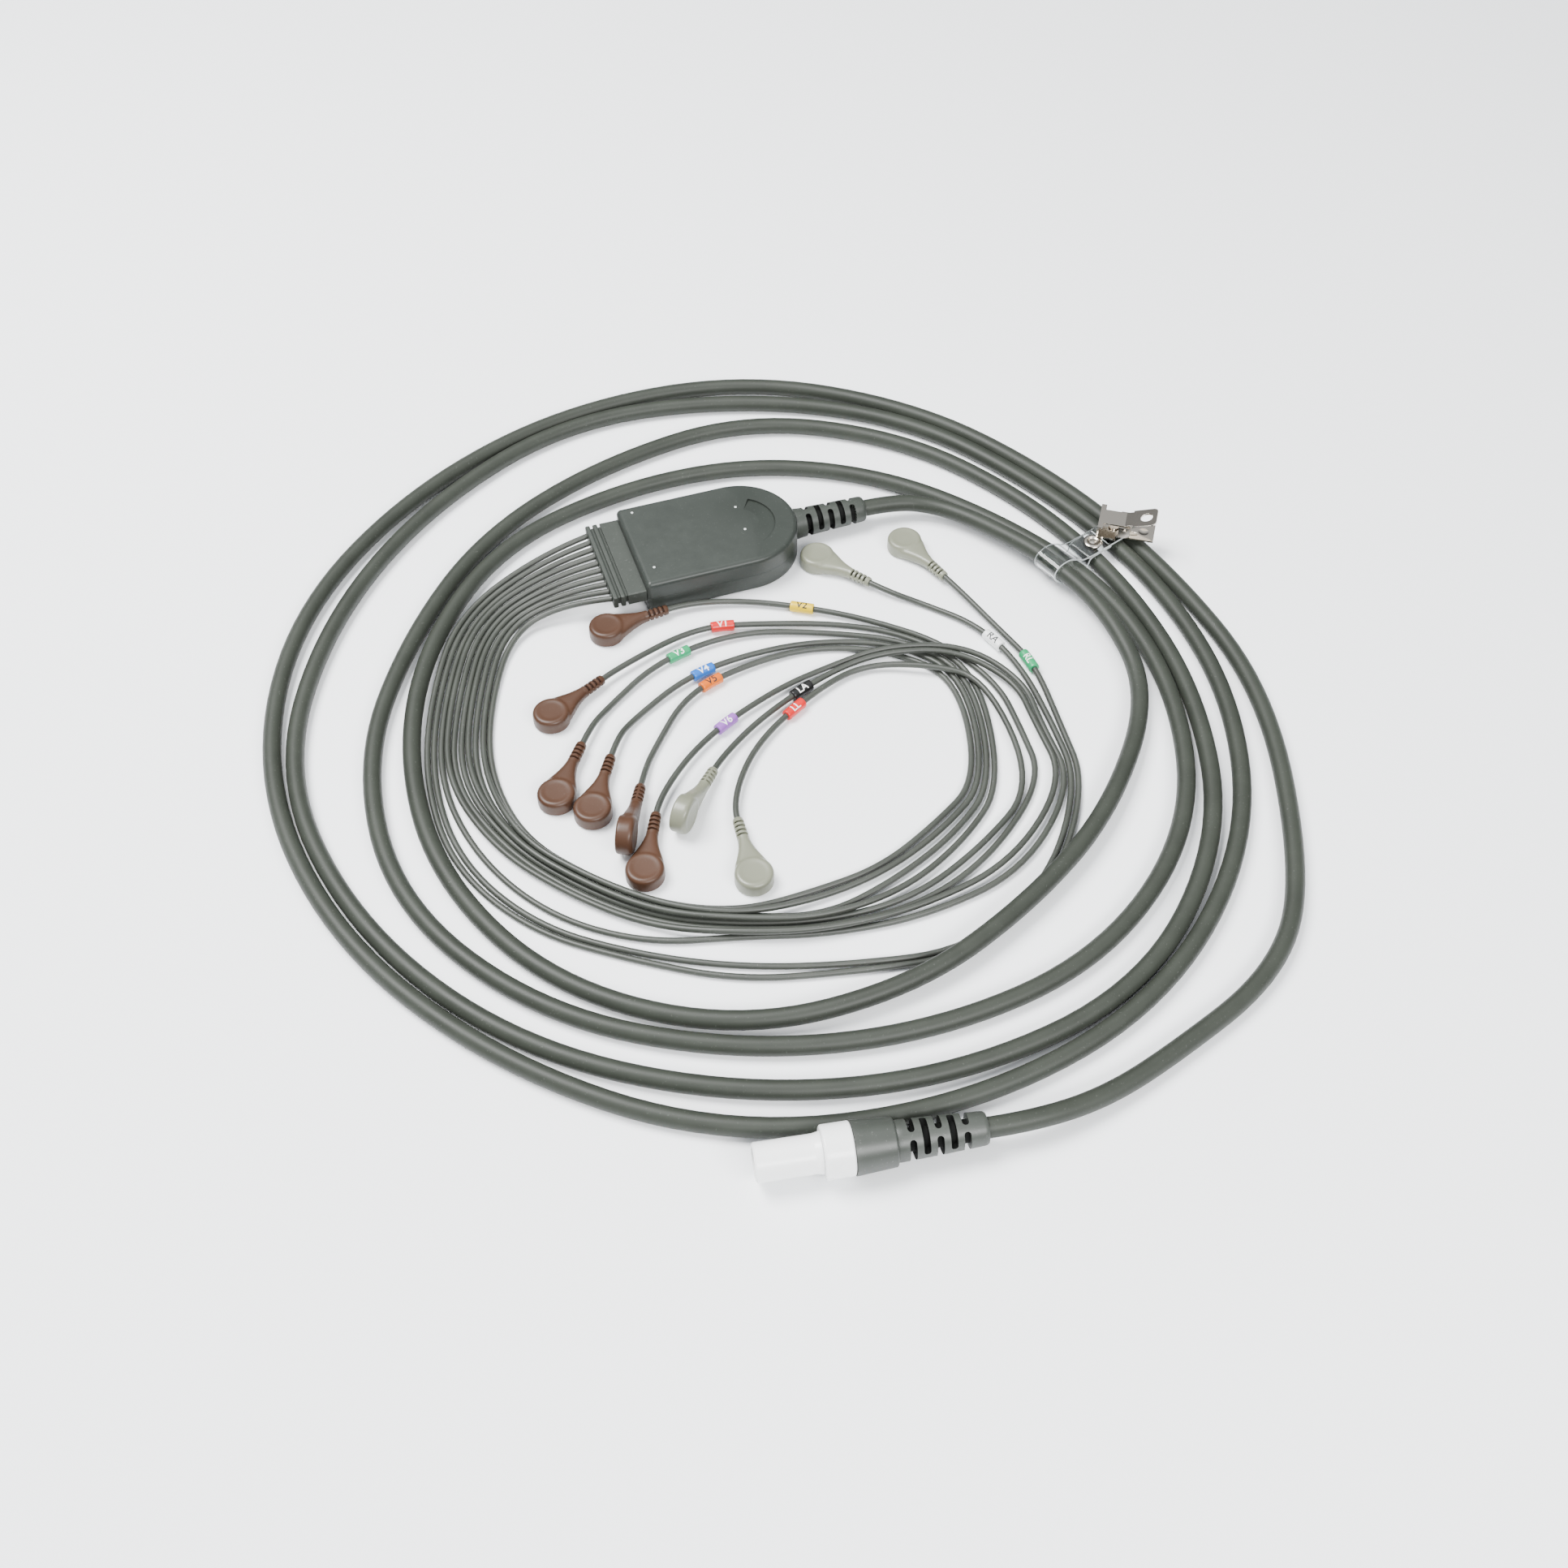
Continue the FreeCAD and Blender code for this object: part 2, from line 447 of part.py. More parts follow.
spots = [(RING * 0.42 * math.cos(math.radians(a)), RING * 0.42 * math.sin(math.radians(a)))
         for a in (0, 120, 240)]
spots += [(RING * math.cos(math.radians(40 * k)), RING * math.sin(math.radians(40 * k)))
          for k in range(9)]
for y, z in spots:
    insulator = insulator.cut(rod(nose_x - NOSE_IN, tip_x, 2 * CONTACT_R + 0.06, y=y, z=z))
    pin = rod(nose_x - NOSE_IN - 1, tip_x - RECESS - 0.2, 2 * CONTACT_R, y=y, z=z)
    contacts.append(pin.cut(rod(tip_x - RECESS - 8, tip_x, 2 * CONTACT_BORE, y=y, z=z)))
for shape, node in ((p_relief, "plug_relief"), (p_body, "plug_body"), (p_collar, "plug_collar"),
                    (nose, "plug_nose"), (insulator, "plug_insulator"),
                    (Part.makeCompound(contacts), "plug_contacts")):
    save(place(shape, plug_at, PLUG_HEADING), node)

# ---- trunk cable -------------------------------------------------------------------------
toward = V(math.cos(math.radians(PLUG_HEADING)), math.sin(math.radians(PLUG_HEADING)), 0)
trunk_points = [V(FRONT + RELIEF_LEN, 0, TRUNK_Z)] + [V(*p) for p in TRUNK]
trunk_points += [plug_at - toward * PLUG_EXIT, plug_at]
trunk, trunk_edges = cable(trunk_points, TRUNK_D, "trunk_cable")
save(trunk, "trunk_cable")

# ---- one snap, lying flat on its socket face ---------------------------------------------
neck_x = SNAP_REACH - SNAP_RELIEF
head = Part.makeCylinder(SNAP_D / 2, SNAP_T)
head = head.makeFillet(1.3, [e for e in head.Edges if e.Closed and e.CenterOfMass.z > 1])
head = head.makeFillet(0.7, [e for e in head.Edges if e.Closed and e.CenterOfMass.z < 0.1])
tip = Part.Wire([Part.Circle(V(neck_x, 0, SNAP_AXIS), X, SNAP_RELIEF_BIG / 2).toShape()])
root_wire = Part.Wire([Part.Ellipse(V(2.5, SNAP_D / 2 - 0.9, SNAP_AXIS - 0.2),
                                    V(2.5, 0, SNAP_AXIS + 2.3),
                                    V(2.5, 0, SNAP_AXIS - 0.2)).toShape()])
neck = Part.makeLoft([root_wire, tip], True, True)
snap_relief = rod(neck_x, SNAP_REACH, SNAP_RELIEF_BIG, SNAP_RELIEF_SMALL, z=SNAP_AXIS)
snap_relief = slotted(snap_relief, [(neck_x + 1.3 + 2.0 * k, 90, 1.4) for k in range(4)],
                      0.9, SNAP_RELIEF_SMALL - 0.8, SNAP_AXIS)
snap = head.fuse(neck).fuse(snap_relief)
dish = Part.makeSphere(30, V(0, 0, SNAP_T - 0.45 + 30))
snap = snap.cut(dish)
snap = snap.cut(Part.makeCylinder(SOCKET_R + SOCKET_WALL + 0.02, SOCKET_DEPTH + SOCKET_WALL + 0.02,
                                  V(0, 0, -0.01)))
snap = snap.removeSplitter()
cup = Part.makeCylinder(SOCKET_R + SOCKET_WALL, SOCKET_DEPTH + SOCKET_WALL - 0.3, V(0, 0, 0.3))
cup = cup.cut(Part.makeCylinder(SOCKET_R, SOCKET_DEPTH, V(0, 0, 0)))

# ---- leads, snaps and marker sleeves -------------------------------------------------------
cups = []
for k, (name, head_at, heading, on_edge, sleeve_back, middle) in enumerate(LEADS):
    turned = [snap.copy(), cup.copy()]
    if on_edge:
        height = SNAP_D / 2 + 0.05
        pitch = EDGE_TIP
        for s in turned:
            s.translate(V(0, 0, -SNAP_AXIS))
            s.rotate(V(0, 0, 0), X, 90)
    else:
        height = SNAP_AXIS
        pitch = 0.0
        for s in turned:
            s.translate(V(0, 0, -SNAP_AXIS))
    at = V(head_at[0], head_at[1], height)
    save(place(turned[0], at, heading, pitch), "snap_" + name)
    cups.append(place(turned[1], at, heading, pitch))
    h = math.radians(heading)
    t = math.radians(pitch)
    away = V(math.cos(h) * math.cos(t), math.sin(h) * math.cos(t), -math.sin(t))
    first = V(comb_x, (k - (LEAD_COUNT - 1) / 2) * LEAD_PITCH, COMB_Z)
    points = [first] + [V(*p) for p in middle]
    points += [at + away * (SNAP_REACH + SNAP_EXIT), at + away * SNAP_REACH]
    lead, edges = cable(points, LEAD_D, "lead_" + name)
    save(lead, "lead_" + name)
    a = along(edges, sleeve_back + SLEEVE_LEN / 2)
    m = along(edges, sleeve_back)
    b = along(edges, sleeve_back - SLEEVE_LEN / 2)
    spine = Part.Wire([Part.Arc(a, m, b).toShape()])
    tangent = spine.Edges[0].tangentAt(spine.Edges[0].FirstParameter)
    outer = spine.makePipeShell([Part.Wire([Part.Circle(a, tangent, SLEEVE_D / 2).toShape()])],
                                True, True)
    bore = spine.makePipeShell([Part.Wire([Part.Circle(a, tangent,
                                                       LEAD_D / 2 + SLEEVE_FIT).toShape()])],
                               True, True)
    save(outer.cut(bore), "sleeve_" + name)
save(Part.makeCompound(cups), "snap_contacts")

# ---- strap, press stud and rivet -----------------------------------------------------------
strap_at = V(STRAP_AT[0], STRAP_AT[1], 0)
low = STRAP_Z - LAYER
STRAP_PATH = [(STRAP_END, STRAP_Z), (13.0, STRAP_Z), (8.0, 12.4), (2.5, 14.6), (-3.6, 12.6),
              (-3.4, 7.0), (4.5, 0.75), (12.5, 0.65), (16.2, 3.6), (17.0, low), (STUD_AT + 5, low)]
strap_points = [V(s, 0, z) for s, z in STRAP_PATH]
strap_edges, strap_radii = path(strap_points)
band = Part.makePolygon([V(STRAP_END, -STRAP_W / 2, STRAP_Z - STRAP_T / 2),
                         V(STRAP_END, STRAP_W / 2, STRAP_Z - STRAP_T / 2),
                         V(STRAP_END, STRAP_W / 2, STRAP_Z + STRAP_T / 2),
                         V(STRAP_END, -STRAP_W / 2, STRAP_Z + STRAP_T / 2),
                         V(STRAP_END, -STRAP_W / 2, STRAP_Z - STRAP_T / 2)])
strap = Part.Wire(strap_edges).makePipeShell([band], True, False)
print("strap length %.0f" % sum(e.Length for e in strap_edges),
      "smallest radius %.1f" % min(strap_radii))
strap_top = STRAP_Z + STRAP_T / 2
STEM_R = 1.2
for s in (STUD_AT, RIVET_AT):
    strap = strap.cut(Part.makeCylinder(STEM_R + 0.05, 6, V(s, 0, STRAP_Z - 2)))
save(place(strap, strap_at, STRAP_HEADING), "clip_strap")
cap = Part.makeCylinder(CAP_D / 2, CAP_T, V(STUD_AT, 0, strap_top))
cap = cap.makeFillet(0.35, [e for e in cap.Edges if e.Closed and e.CenterOfMass.z > strap_top + 0.3])
cap = cap.cut(Part.makeCylinder(CAP_D / 4, 1, V(STUD_AT, 0, strap_top + CAP_T - 0.25)))
cap = cap.fuse(Part.makeCylinder(STEM_R, STRAP_T + 0.05, V(STUD_AT, 0, strap_top - STRAP_T - 0.05)))
save(place(cap, strap_at, STRAP_HEADING), "stud_cap")
under = low - STRAP_T / 2
socket = Part.makeCylinder(3.2, 0.25, V(STUD_AT, 0, under - 0.25))
socket = socket.fuse(Part.makeCylinder(STEM_R, STRAP_T + 0.25, V(STUD_AT, 0, under - 0.25)))
save(place(socket, strap_at, STRAP_HEADING), "stud_socket")

# ---- spring clip ---------------------------------------------------------------------------
turn = math.radians(STRAP_HEADING)
pivot = strap_at + V(math.cos(turn) * RIVET_AT, math.sin(turn) * RIVET_AT, 0)
base_z = strap_top + CAP_T + 0.3
rivet = Part.makeCylinder(STEM_R - 0.05, base_z + PLATE + 0.15 - (STRAP_Z - STRAP_T / 2) + 0.1,
                          V(0, 0, STRAP_Z - STRAP_T / 2 - 0.1))
rivet = rivet.fuse(Part.makeCylinder(2.3, 0.45, V(0, 0, STRAP_Z - STRAP_T / 2 - 0.55)))
rivet = rivet.fuse(Part.makeCylinder(2.2, 0.5, V(0, 0, base_z + PLATE + 0.15)))
rivet = rivet.fuse(Part.makeCylinder(2.6, base_z - strap_top - 0.15, V(0, 0, strap_top)))
save(place(rivet, V(pivot.x, pivot.y, 0), CLIP_HEADING), "clip_rivet")

hinge_z = base_z + PLATE + HINGE_UP


def ears(half, z0, z1, bore):
    pair = []
    for s in (-1, 1):
        y0 = s * half
        ear = box(HINGE_AT - 2.4, HINGE_AT + 2.4, min(y0, y0 - s * PLATE), max(y0, y0 - s * PLATE),
                  z0, z1)
        pair.append(ear.cut(Part.makeCylinder(bore, 4, V(HINGE_AT, y0 - 2, hinge_z), Y)))
    return pair


base = box(-JAW, 1.5, -JAW_W / 2, JAW_W / 2, base_z, base_z + PLATE)
base = base.fuse(box(1.0, WING, -WING_W / 2, WING_W / 2, base_z, base_z + PLATE))
lip_z = base_z + PLATE + 1.6
base = base.fuse(box(-JAW, -JAW + PLATE, -JAW_W / 2, JAW_W / 2, base_z, lip_z))
for k in range(6):
    notch = box(-JAW - 1, -JAW + PLATE + 1, -JAW_W / 2 + 1.25 + 2.5 * k - 0.5,
                -JAW_W / 2 + 1.25 + 2.5 * k + 0.5, lip_z - 0.8, lip_z + 1)
    base = base.cut(notch)
base = base.cut(Part.makeCylinder(STEM_R + 0.1, 4, V(0, 0, base_z - 1)))
for ear in ears(WING_W / 2, base_z + 0.1, hinge_z + 2.0, HINGE_R + 0.02):
    base = base.fuse(ear)
base = base.cut(Part.makeSphere(6, V(WING - 4.5, 0, base_z + PLATE + 5.6)))
base = base.removeSplitter()

lever_half = WING_W / 2 - PLATE - 0.25
lever_z = hinge_z + 1.7
lever = box(-JAW, HINGE_AT, -lever_half, lever_half, lever_z, lever_z + PLATE)
lever = lever.fuse(box(-JAW, -JAW + 2.2, -JAW_W / 2, JAW_W / 2, lever_z, lever_z + PLATE))
lever = lever.fuse(box(-JAW, -JAW + PLATE, -JAW_W / 2, JAW_W / 2, lip_z + 0.3, lever_z + PLATE))
for k in range(6):
    notch = box(-JAW - 1, -JAW + PLATE + 1, -JAW_W / 2 + 1.25 + 2.5 * k - 0.5,
                -JAW_W / 2 + 1.25 + 2.5 * k + 0.5, lip_z - 1, lip_z + 1.1)
    lever = lever.cut(notch)
wing = box(0, WING - HINGE_AT + 0.8, -WING_W / 2, WING_W / 2, 0, PLATE)
wing = wing.cut(Part.makeCylinder(2.5, 4, V(WING - HINGE_AT - 3.6, 0, -1)))
wing = wing.makeFillet(2.0, [e for e in wing.Edges if abs(e.tangentAt(e.FirstParameter).z) > 0.9
                             and e.CenterOfMass.x > WING - HINGE_AT and not e.Closed])
wing.rotate(V(0, 0, 0), Y, -WING_TILT)
wing.translate(V(HINGE_AT, 0, lever_z))
wing_gap = box(HINGE_AT - 2.6, HINGE_AT + 2.6, WING_W / 2 - PLATE - 0.2, WING_W / 2 + 1, 0, 40)
wing = wing.cut(wing_gap).cut(wing_gap.mirror(V(0, 0, 0), Y))
lever = lever.fuse(wing)
for ear in ears(lever_half, hinge_z - 1.6, lever_z + 0.2, HINGE_R + HINGE_FIT):
    lever = lever.fuse(ear)
lever = lever.removeSplitter()
pin_half = WING_W / 2 + 0.5
pin = Part.makeCylinder(HINGE_R, 2 * pin_half, V(HINGE_AT, -pin_half, hinge_z), Y)
for s in (-1, 1):
    pin = pin.fuse(Part.makeCylinder(HINGE_R + 0.35, 0.4,
                                     V(HINGE_AT, s * (WING_W / 2 + 0.25) - 0.2, hinge_z), Y))
COIL_R = HINGE_R + 0.55
spring = Part.makeCylinder(COIL_R, 2 * lever_half - 3.2, V(HINGE_AT, -lever_half + 1.6, hinge_z), Y)
spring = spring.cut(Part.makeCylinder(HINGE_R + 0.1, 20, V(HINGE_AT, -10, hinge_z), Y))
leg = Part.makeCylinder(0.22, 6.0, V(HINGE_AT + 0.4, -lever_half + 2.0, base_z + PLATE + 0.3), X)
spring = spring.fuse(leg).fuse(
    Part.makeCylinder(0.22, 1.4, V(HINGE_AT + 0.5, -lever_half + 2.0, base_z + PLATE + 0.3), Z))
for shape, node in ((base, "clip_base"), (lever, "clip_lever"), (pin, "clip_pin"),
                    (spring, "clip_spring")):
    save(place(shape, V(pivot.x, pivot.y, 0), CLIP_HEADING), node)
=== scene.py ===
import math
import bmesh
import bpy
from mathutils import Matrix, Vector


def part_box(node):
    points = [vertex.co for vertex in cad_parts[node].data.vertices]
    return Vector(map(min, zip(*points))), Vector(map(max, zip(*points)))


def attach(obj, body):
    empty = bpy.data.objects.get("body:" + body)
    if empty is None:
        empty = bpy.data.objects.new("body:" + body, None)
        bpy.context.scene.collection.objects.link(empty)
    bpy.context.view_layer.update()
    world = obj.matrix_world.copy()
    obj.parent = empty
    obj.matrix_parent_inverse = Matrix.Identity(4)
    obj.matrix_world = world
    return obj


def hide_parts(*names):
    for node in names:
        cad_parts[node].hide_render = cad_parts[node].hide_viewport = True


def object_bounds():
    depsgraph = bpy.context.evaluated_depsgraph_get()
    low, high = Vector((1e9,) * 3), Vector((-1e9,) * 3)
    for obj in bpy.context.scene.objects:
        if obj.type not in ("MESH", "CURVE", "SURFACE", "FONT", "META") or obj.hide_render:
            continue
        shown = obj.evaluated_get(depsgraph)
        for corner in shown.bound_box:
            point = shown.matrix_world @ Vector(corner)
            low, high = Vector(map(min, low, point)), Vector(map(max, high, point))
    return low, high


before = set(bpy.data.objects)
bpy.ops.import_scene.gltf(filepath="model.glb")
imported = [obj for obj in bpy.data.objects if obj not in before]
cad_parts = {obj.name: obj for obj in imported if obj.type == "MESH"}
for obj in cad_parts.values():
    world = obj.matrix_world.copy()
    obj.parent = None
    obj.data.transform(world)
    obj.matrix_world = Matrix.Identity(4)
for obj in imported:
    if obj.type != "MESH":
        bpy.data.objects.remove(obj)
low_corner, high_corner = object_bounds()

# ---- Yoke shells --------------------------------------------------------------------------
# The flat junction box: two moulded halves in dark grey ABS with a fine satin grain, pressed
# together at a seam round the middle. The upper half has a crescent thumb recess.


def add(tree, kind, **inputs):
    """A shader node with its constant inputs set on its own sockets."""
    node = tree.nodes.new(kind)
    for key, value in inputs.items():
        node.inputs[key.replace("_", " ")].default_value = value
    return node


def arithmetic(tree, operation):
    """A math node for two values."""
    node = tree.nodes.new("ShaderNodeMath")
    node.operation = operation
    return node


def join(tree, *pairs):
    """Links each output socket to the input socket beside it."""
    for source, target in pairs:
        tree.links.new(source, target)


def group(name, ins, outs):
    """A shader node group with these sockets, and its input and output nodes."""
    tree = bpy.data.node_groups.new(name, "ShaderNodeTree")
    for label, kind, value in ins:
        sock = tree.interface.new_socket(label, in_out="INPUT", socket_type=kind)
        sock.default_value = value
    for label, kind in outs:
        tree.interface.new_socket(label, in_out="OUTPUT", socket_type=kind)
    return tree, tree.nodes.new("NodeGroupInput"), tree.nodes.new("NodeGroupOutput")


FLOAT, COLOUR = "NodeSocketFloat", "NodeSocketColor"

# Moulded skin: cloudy tone of the polymer, a fine spark-eroded grain, and pale dust specks.
skin, g_in, g_out = group("moulded_skin", [
    ("Colour", COLOUR, (0.1, 0.1, 0.1, 1)), ("Lift", FLOAT, 0.12), ("Grain scale", FLOAT, 2600.0),
    ("Roughness", FLOAT, 0.45), ("Dust", FLOAT, 0.15)],
    [("Colour", COLOUR), ("Roughness", FLOAT), ("Height", FLOAT)])
where = add(skin, "ShaderNodeTexCoord")
cloud = add(skin, "ShaderNodeTexNoise", Scale=55.0, Detail=4.0, Roughness=0.6)
grain = add(skin, "ShaderNodeTexNoise", Detail=2.0, Roughness=0.6)
specks = add(skin, "ShaderNodeTexNoise", Scale=1300.0, Detail=1.0)
tone = add(skin, "ShaderNodeMapRange", From_Min=0.35, From_Max=0.65, To_Min=-0.5, To_Max=0.5)
lift = arithmetic(skin, "MULTIPLY")
bright = arithmetic(skin, "ADD")
bright.inputs[1].default_value = 1.0
shade = skin.nodes.new("ShaderNodeVectorMath")
shade.operation = "SCALE"
speck_mask = add(skin, "ShaderNodeMapRange", From_Min=0.68, From_Max=0.76)
speck_amount = arithmetic(skin, "MULTIPLY")
dusty = skin.nodes.new("ShaderNodeMix")
dusty.data_type = "RGBA"
dusty.inputs["B"].default_value = (0.6, 0.6, 0.58, 1)
rough_wave = add(skin, "ShaderNodeMapRange", To_Min=-0.07, To_Max=0.09)
rough_sum = arithmetic(skin, "ADD")
for texture in (cloud, grain, specks):
    skin.links.new(where.outputs["Object"], texture.inputs["Vector"])
join(skin,
     (g_in.outputs["Grain scale"], grain.inputs["Scale"]),
     (cloud.outputs["Fac"], tone.inputs["Value"]),
     (tone.outputs["Result"], lift.inputs[0]),
     (g_in.outputs["Lift"], lift.inputs[1]),
     (lift.outputs[0], bright.inputs[0]),
     (g_in.outputs["Colour"], shade.inputs[0]),
     (bright.outputs[0], shade.inputs["Scale"]),
     (specks.outputs["Fac"], speck_mask.inputs["Value"]),
     (speck_mask.outputs["Result"], speck_amount.inputs[0]),
     (g_in.outputs["Dust"], speck_amount.inputs[1]),
     (shade.outputs[0], dusty.inputs["A"]),
     (speck_amount.outputs[0], dusty.inputs["Factor"]),
     (dusty.outputs["Result"], g_out.inputs["Colour"]),
     (cloud.outputs["Fac"], rough_wave.inputs["Value"]),
     (rough_wave.outputs["Result"], rough_sum.inputs[0]),
     (g_in.outputs["Roughness"], rough_sum.inputs[1]),
     (rough_sum.outputs[0], g_out.inputs["Roughness"]),
     (grain.outputs["Fac"], g_out.inputs["Height"]))

# Rubbed edges: where a corner turns, handling has polished the skin a little lighter.
rubbed, g_in, g_out = group("rubbed_edge", [
    ("Colour", COLOUR, (0.1, 0.1, 0.1, 1)), ("Worn colour", COLOUR, (0.3, 0.3, 0.3, 1)),
    ("Amount", FLOAT, 0.4)], [("Colour", COLOUR), ("Mask", FLOAT)])
form = add(rubbed, "ShaderNodeNewGeometry")
corner = add(rubbed, "ShaderNodeMapRange", From_Min=0.52, From_Max=0.62)
patch = add(rubbed, "ShaderNodeTexNoise", Scale=260.0, Detail=5.0, Roughness=0.7)
broken = arithmetic(rubbed, "MULTIPLY")
amount = arithmetic(rubbed, "MULTIPLY")
worn = rubbed.nodes.new("ShaderNodeMix")
worn.data_type = "RGBA"
join(rubbed,
     (add(rubbed, "ShaderNodeTexCoord").outputs["Object"], patch.inputs["Vector"]),
     (form.outputs["Pointiness"], corner.inputs["Value"]),
     (corner.outputs["Result"], broken.inputs[0]),
     (patch.outputs["Fac"], broken.inputs[1]),
     (broken.outputs[0], amount.inputs[0]),
     (g_in.outputs["Amount"], amount.inputs[1]),
     (amount.outputs[0], worn.inputs["Factor"]),
     (g_in.outputs["Colour"], worn.inputs["A"]),
     (g_in.outputs["Worn colour"], worn.inputs["B"]),
     (worn.outputs["Result"], g_out.inputs["Colour"]),
     (amount.outputs[0], g_out.inputs["Mask"]))

GRAIN_DEPTH = 0.00004
EDGE_SAMPLES = 4


def moulded(name, colour, roughness, grain_scale=2600.0, lift=0.12, dust=0.15, bump=0.25,
            coat=0.0, specular=0.5, wear=0.35, round_edge=0.0):
    """A moulded polymer in one colour, with its grain as bump and its corners rubbed."""
    mat = bpy.data.materials.new(name)
    mat.use_nodes = True
    tree = mat.node_tree
    bsdf = tree.nodes["Principled BSDF"]
    surface = tree.nodes.new("ShaderNodeGroup")
    surface.node_tree = skin
    surface.inputs["Colour"].default_value = (*colour, 1)
    surface.inputs["Lift"].default_value = lift
    surface.inputs["Grain scale"].default_value = grain_scale
    surface.inputs["Roughness"].default_value = roughness
    surface.inputs["Dust"].default_value = dust
    edge = tree.nodes.new("ShaderNodeGroup")
    edge.node_tree = rubbed
    edge.inputs["Worn colour"].default_value = (*[min(1, c * 1.5 + 0.03) for c in colour], 1)
    edge.inputs["Amount"].default_value = wear
    relief = add(tree, "ShaderNodeBump", Strength=bump, Distance=GRAIN_DEPTH)
    if round_edge:
        soft = add(tree, "ShaderNodeBevel", Radius=round_edge)
        soft.samples = EDGE_SAMPLES
        tree.links.new(soft.outputs["Normal"], relief.inputs["Normal"])
    join(tree,
         (surface.outputs["Colour"], edge.inputs["Colour"]),
         (edge.outputs["Colour"], bsdf.inputs["Base Color"]),
         (surface.outputs["Roughness"], bsdf.inputs["Roughness"]),
         (surface.outputs["Height"], relief.inputs["Height"]),
         (relief.outputs["Normal"], bsdf.inputs["Normal"]))
    bsdf.inputs["Coat Weight"].default_value = coat
    bsdf.inputs["Specular IOR Level"].default_value = specular
    return mat


def finish_node(node, mat):
    """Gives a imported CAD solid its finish."""
    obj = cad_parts[node]
    obj.data.materials.clear()
    obj.data.materials.append(mat)


housing_grey = moulded("housing_grey", (0.024, 0.0285, 0.0245), 0.37, bump=0.16, dust=0.03,
                       specular=0.3)
for shell in ("yoke_top_shell", "yoke_bottom_shell"):
    finish_node(shell, housing_grey)

# ---- Gate marks on the yoke ---------------------------------------------------------------
# Four tiny pale dots where the moulding's gates were trimmed flush with the upper shell.
finish_node("top_pips", moulded("pip_pale", (0.55, 0.58, 0.56), 0.5, wear=0.0))

# ---- Board inside the yoke ------------------------------------------------------------------
# Glass-epoxy board with green solder mask; it carries a protection resistor for each lead and
# two rows of gold-plated pins. Sealed in, so only seen when the shells are taken apart.
finish_node("junction_board", moulded("solder_mask", (0.02, 0.13, 0.06), 0.35, lift=0.3))
finish_node("protection_resistors", moulded("resistor_black", (0.02, 0.02, 0.02), 0.5))

# Brushed and plated metal: fine scratches break up the roughness.
scuffed, g_in, g_out = group("plated_scuffs", [
    ("Roughness", FLOAT, 0.15), ("Scuffs", FLOAT, 0.15), ("Scale", FLOAT, 900.0)],
    [("Roughness", FLOAT), ("Height", FLOAT)])
stretch = add(scuffed, "ShaderNodeMapping")
stretch.inputs["Scale"].default_value = (1.0, 0.12, 1.0)
hair = add(scuffed, "ShaderNodeTexNoise", Detail=6.0, Roughness=0.75)
tarnish = add(scuffed, "ShaderNodeTexNoise", Scale=180.0, Detail=3.0)
both = arithmetic(scuffed, "MULTIPLY")
scaled = arithmetic(scuffed, "MULTIPLY")
total = arithmetic(scuffed, "ADD")
place = add(scuffed, "ShaderNodeTexCoord")
join(scuffed,
     (place.outputs["Object"], stretch.inputs["Vector"]),
     (stretch.outputs["Vector"], hair.inputs["Vector"]),
     (place.outputs["Object"], tarnish.inputs["Vector"]),
     (g_in.outputs["Scale"], hair.inputs["Scale"]),
     (hair.outputs["Fac"], both.inputs[0]),
     (tarnish.outputs["Fac"], both.inputs[1]),
     (both.outputs[0], scaled.inputs[0]),
     (g_in.outputs["Scuffs"], scaled.inputs[1]),
     (scaled.outputs[0], total.inputs[0]),
     (g_in.outputs["Roughness"], total.inputs[1]),
     (total.outputs[0], g_out.inputs["Roughness"]),
     (hair.outputs["Fac"], g_out.inputs["Height"]))

SCRATCH_DEPTH = 0.00003
PLATED_EDGE = 0.00015


def plated(name, colour, roughness, scuffs=0.6, bump=0.12):
    """A plated metal with fine scratches and slightly rounded edges."""
    mat = bpy.data.materials.new(name)
    mat.use_nodes = True
    tree = mat.node_tree
    bsdf = tree.nodes["Principled BSDF"]
    bsdf.inputs["Base Color"].default_value = (*colour, 1)
    bsdf.inputs["Metallic"].default_value = 1.0
    marks = tree.nodes.new("ShaderNodeGroup")
    marks.node_tree = scuffed
    marks.inputs["Roughness"].default_value = roughness
    marks.inputs["Scuffs"].default_value = scuffs
    relief = add(tree, "ShaderNodeBump", Strength=bump, Distance=SCRATCH_DEPTH)
    soft = add(tree, "ShaderNodeBevel", Radius=PLATED_EDGE)
    soft.samples = EDGE_SAMPLES
    join(tree,
         (soft.outputs["Normal"], relief.inputs["Normal"]),
         (marks.outputs["Roughness"], bsdf.inputs["Roughness"]),
         (marks.outputs["Height"], relief.inputs["Height"]),
         (relief.outputs["Normal"], bsdf.inputs["Normal"]))
    return mat


gold_pin = plated("gold_pin", (0.85, 0.62, 0.25), 0.22)
finish_node("lead_pins", gold_pin)
finish_node("trunk_pins", gold_pin)

# ---- Lead comb ------------------------------------------------------------------------------
# Soft PVC overmould that grips the ten lead wires. The grooves between its two ribs and the
# collar on the yoke let it flex.
cable_pvc = moulded("cable_pvc", (0.026, 0.03, 0.0235), 0.48, grain_scale=1800.0, lift=0.2,
                    dust=0.04, bump=0.18, specular=0.28, wear=0.25)
comb_pvc = moulded("comb_pvc", (0.028, 0.033, 0.0275), 0.48, grain_scale=1800.0, lift=0.14,
                   dust=0.06, bump=0.2, specular=0.4, wear=0.3, round_edge=0.0003)
finish_node("lead_comb", comb_pvc)

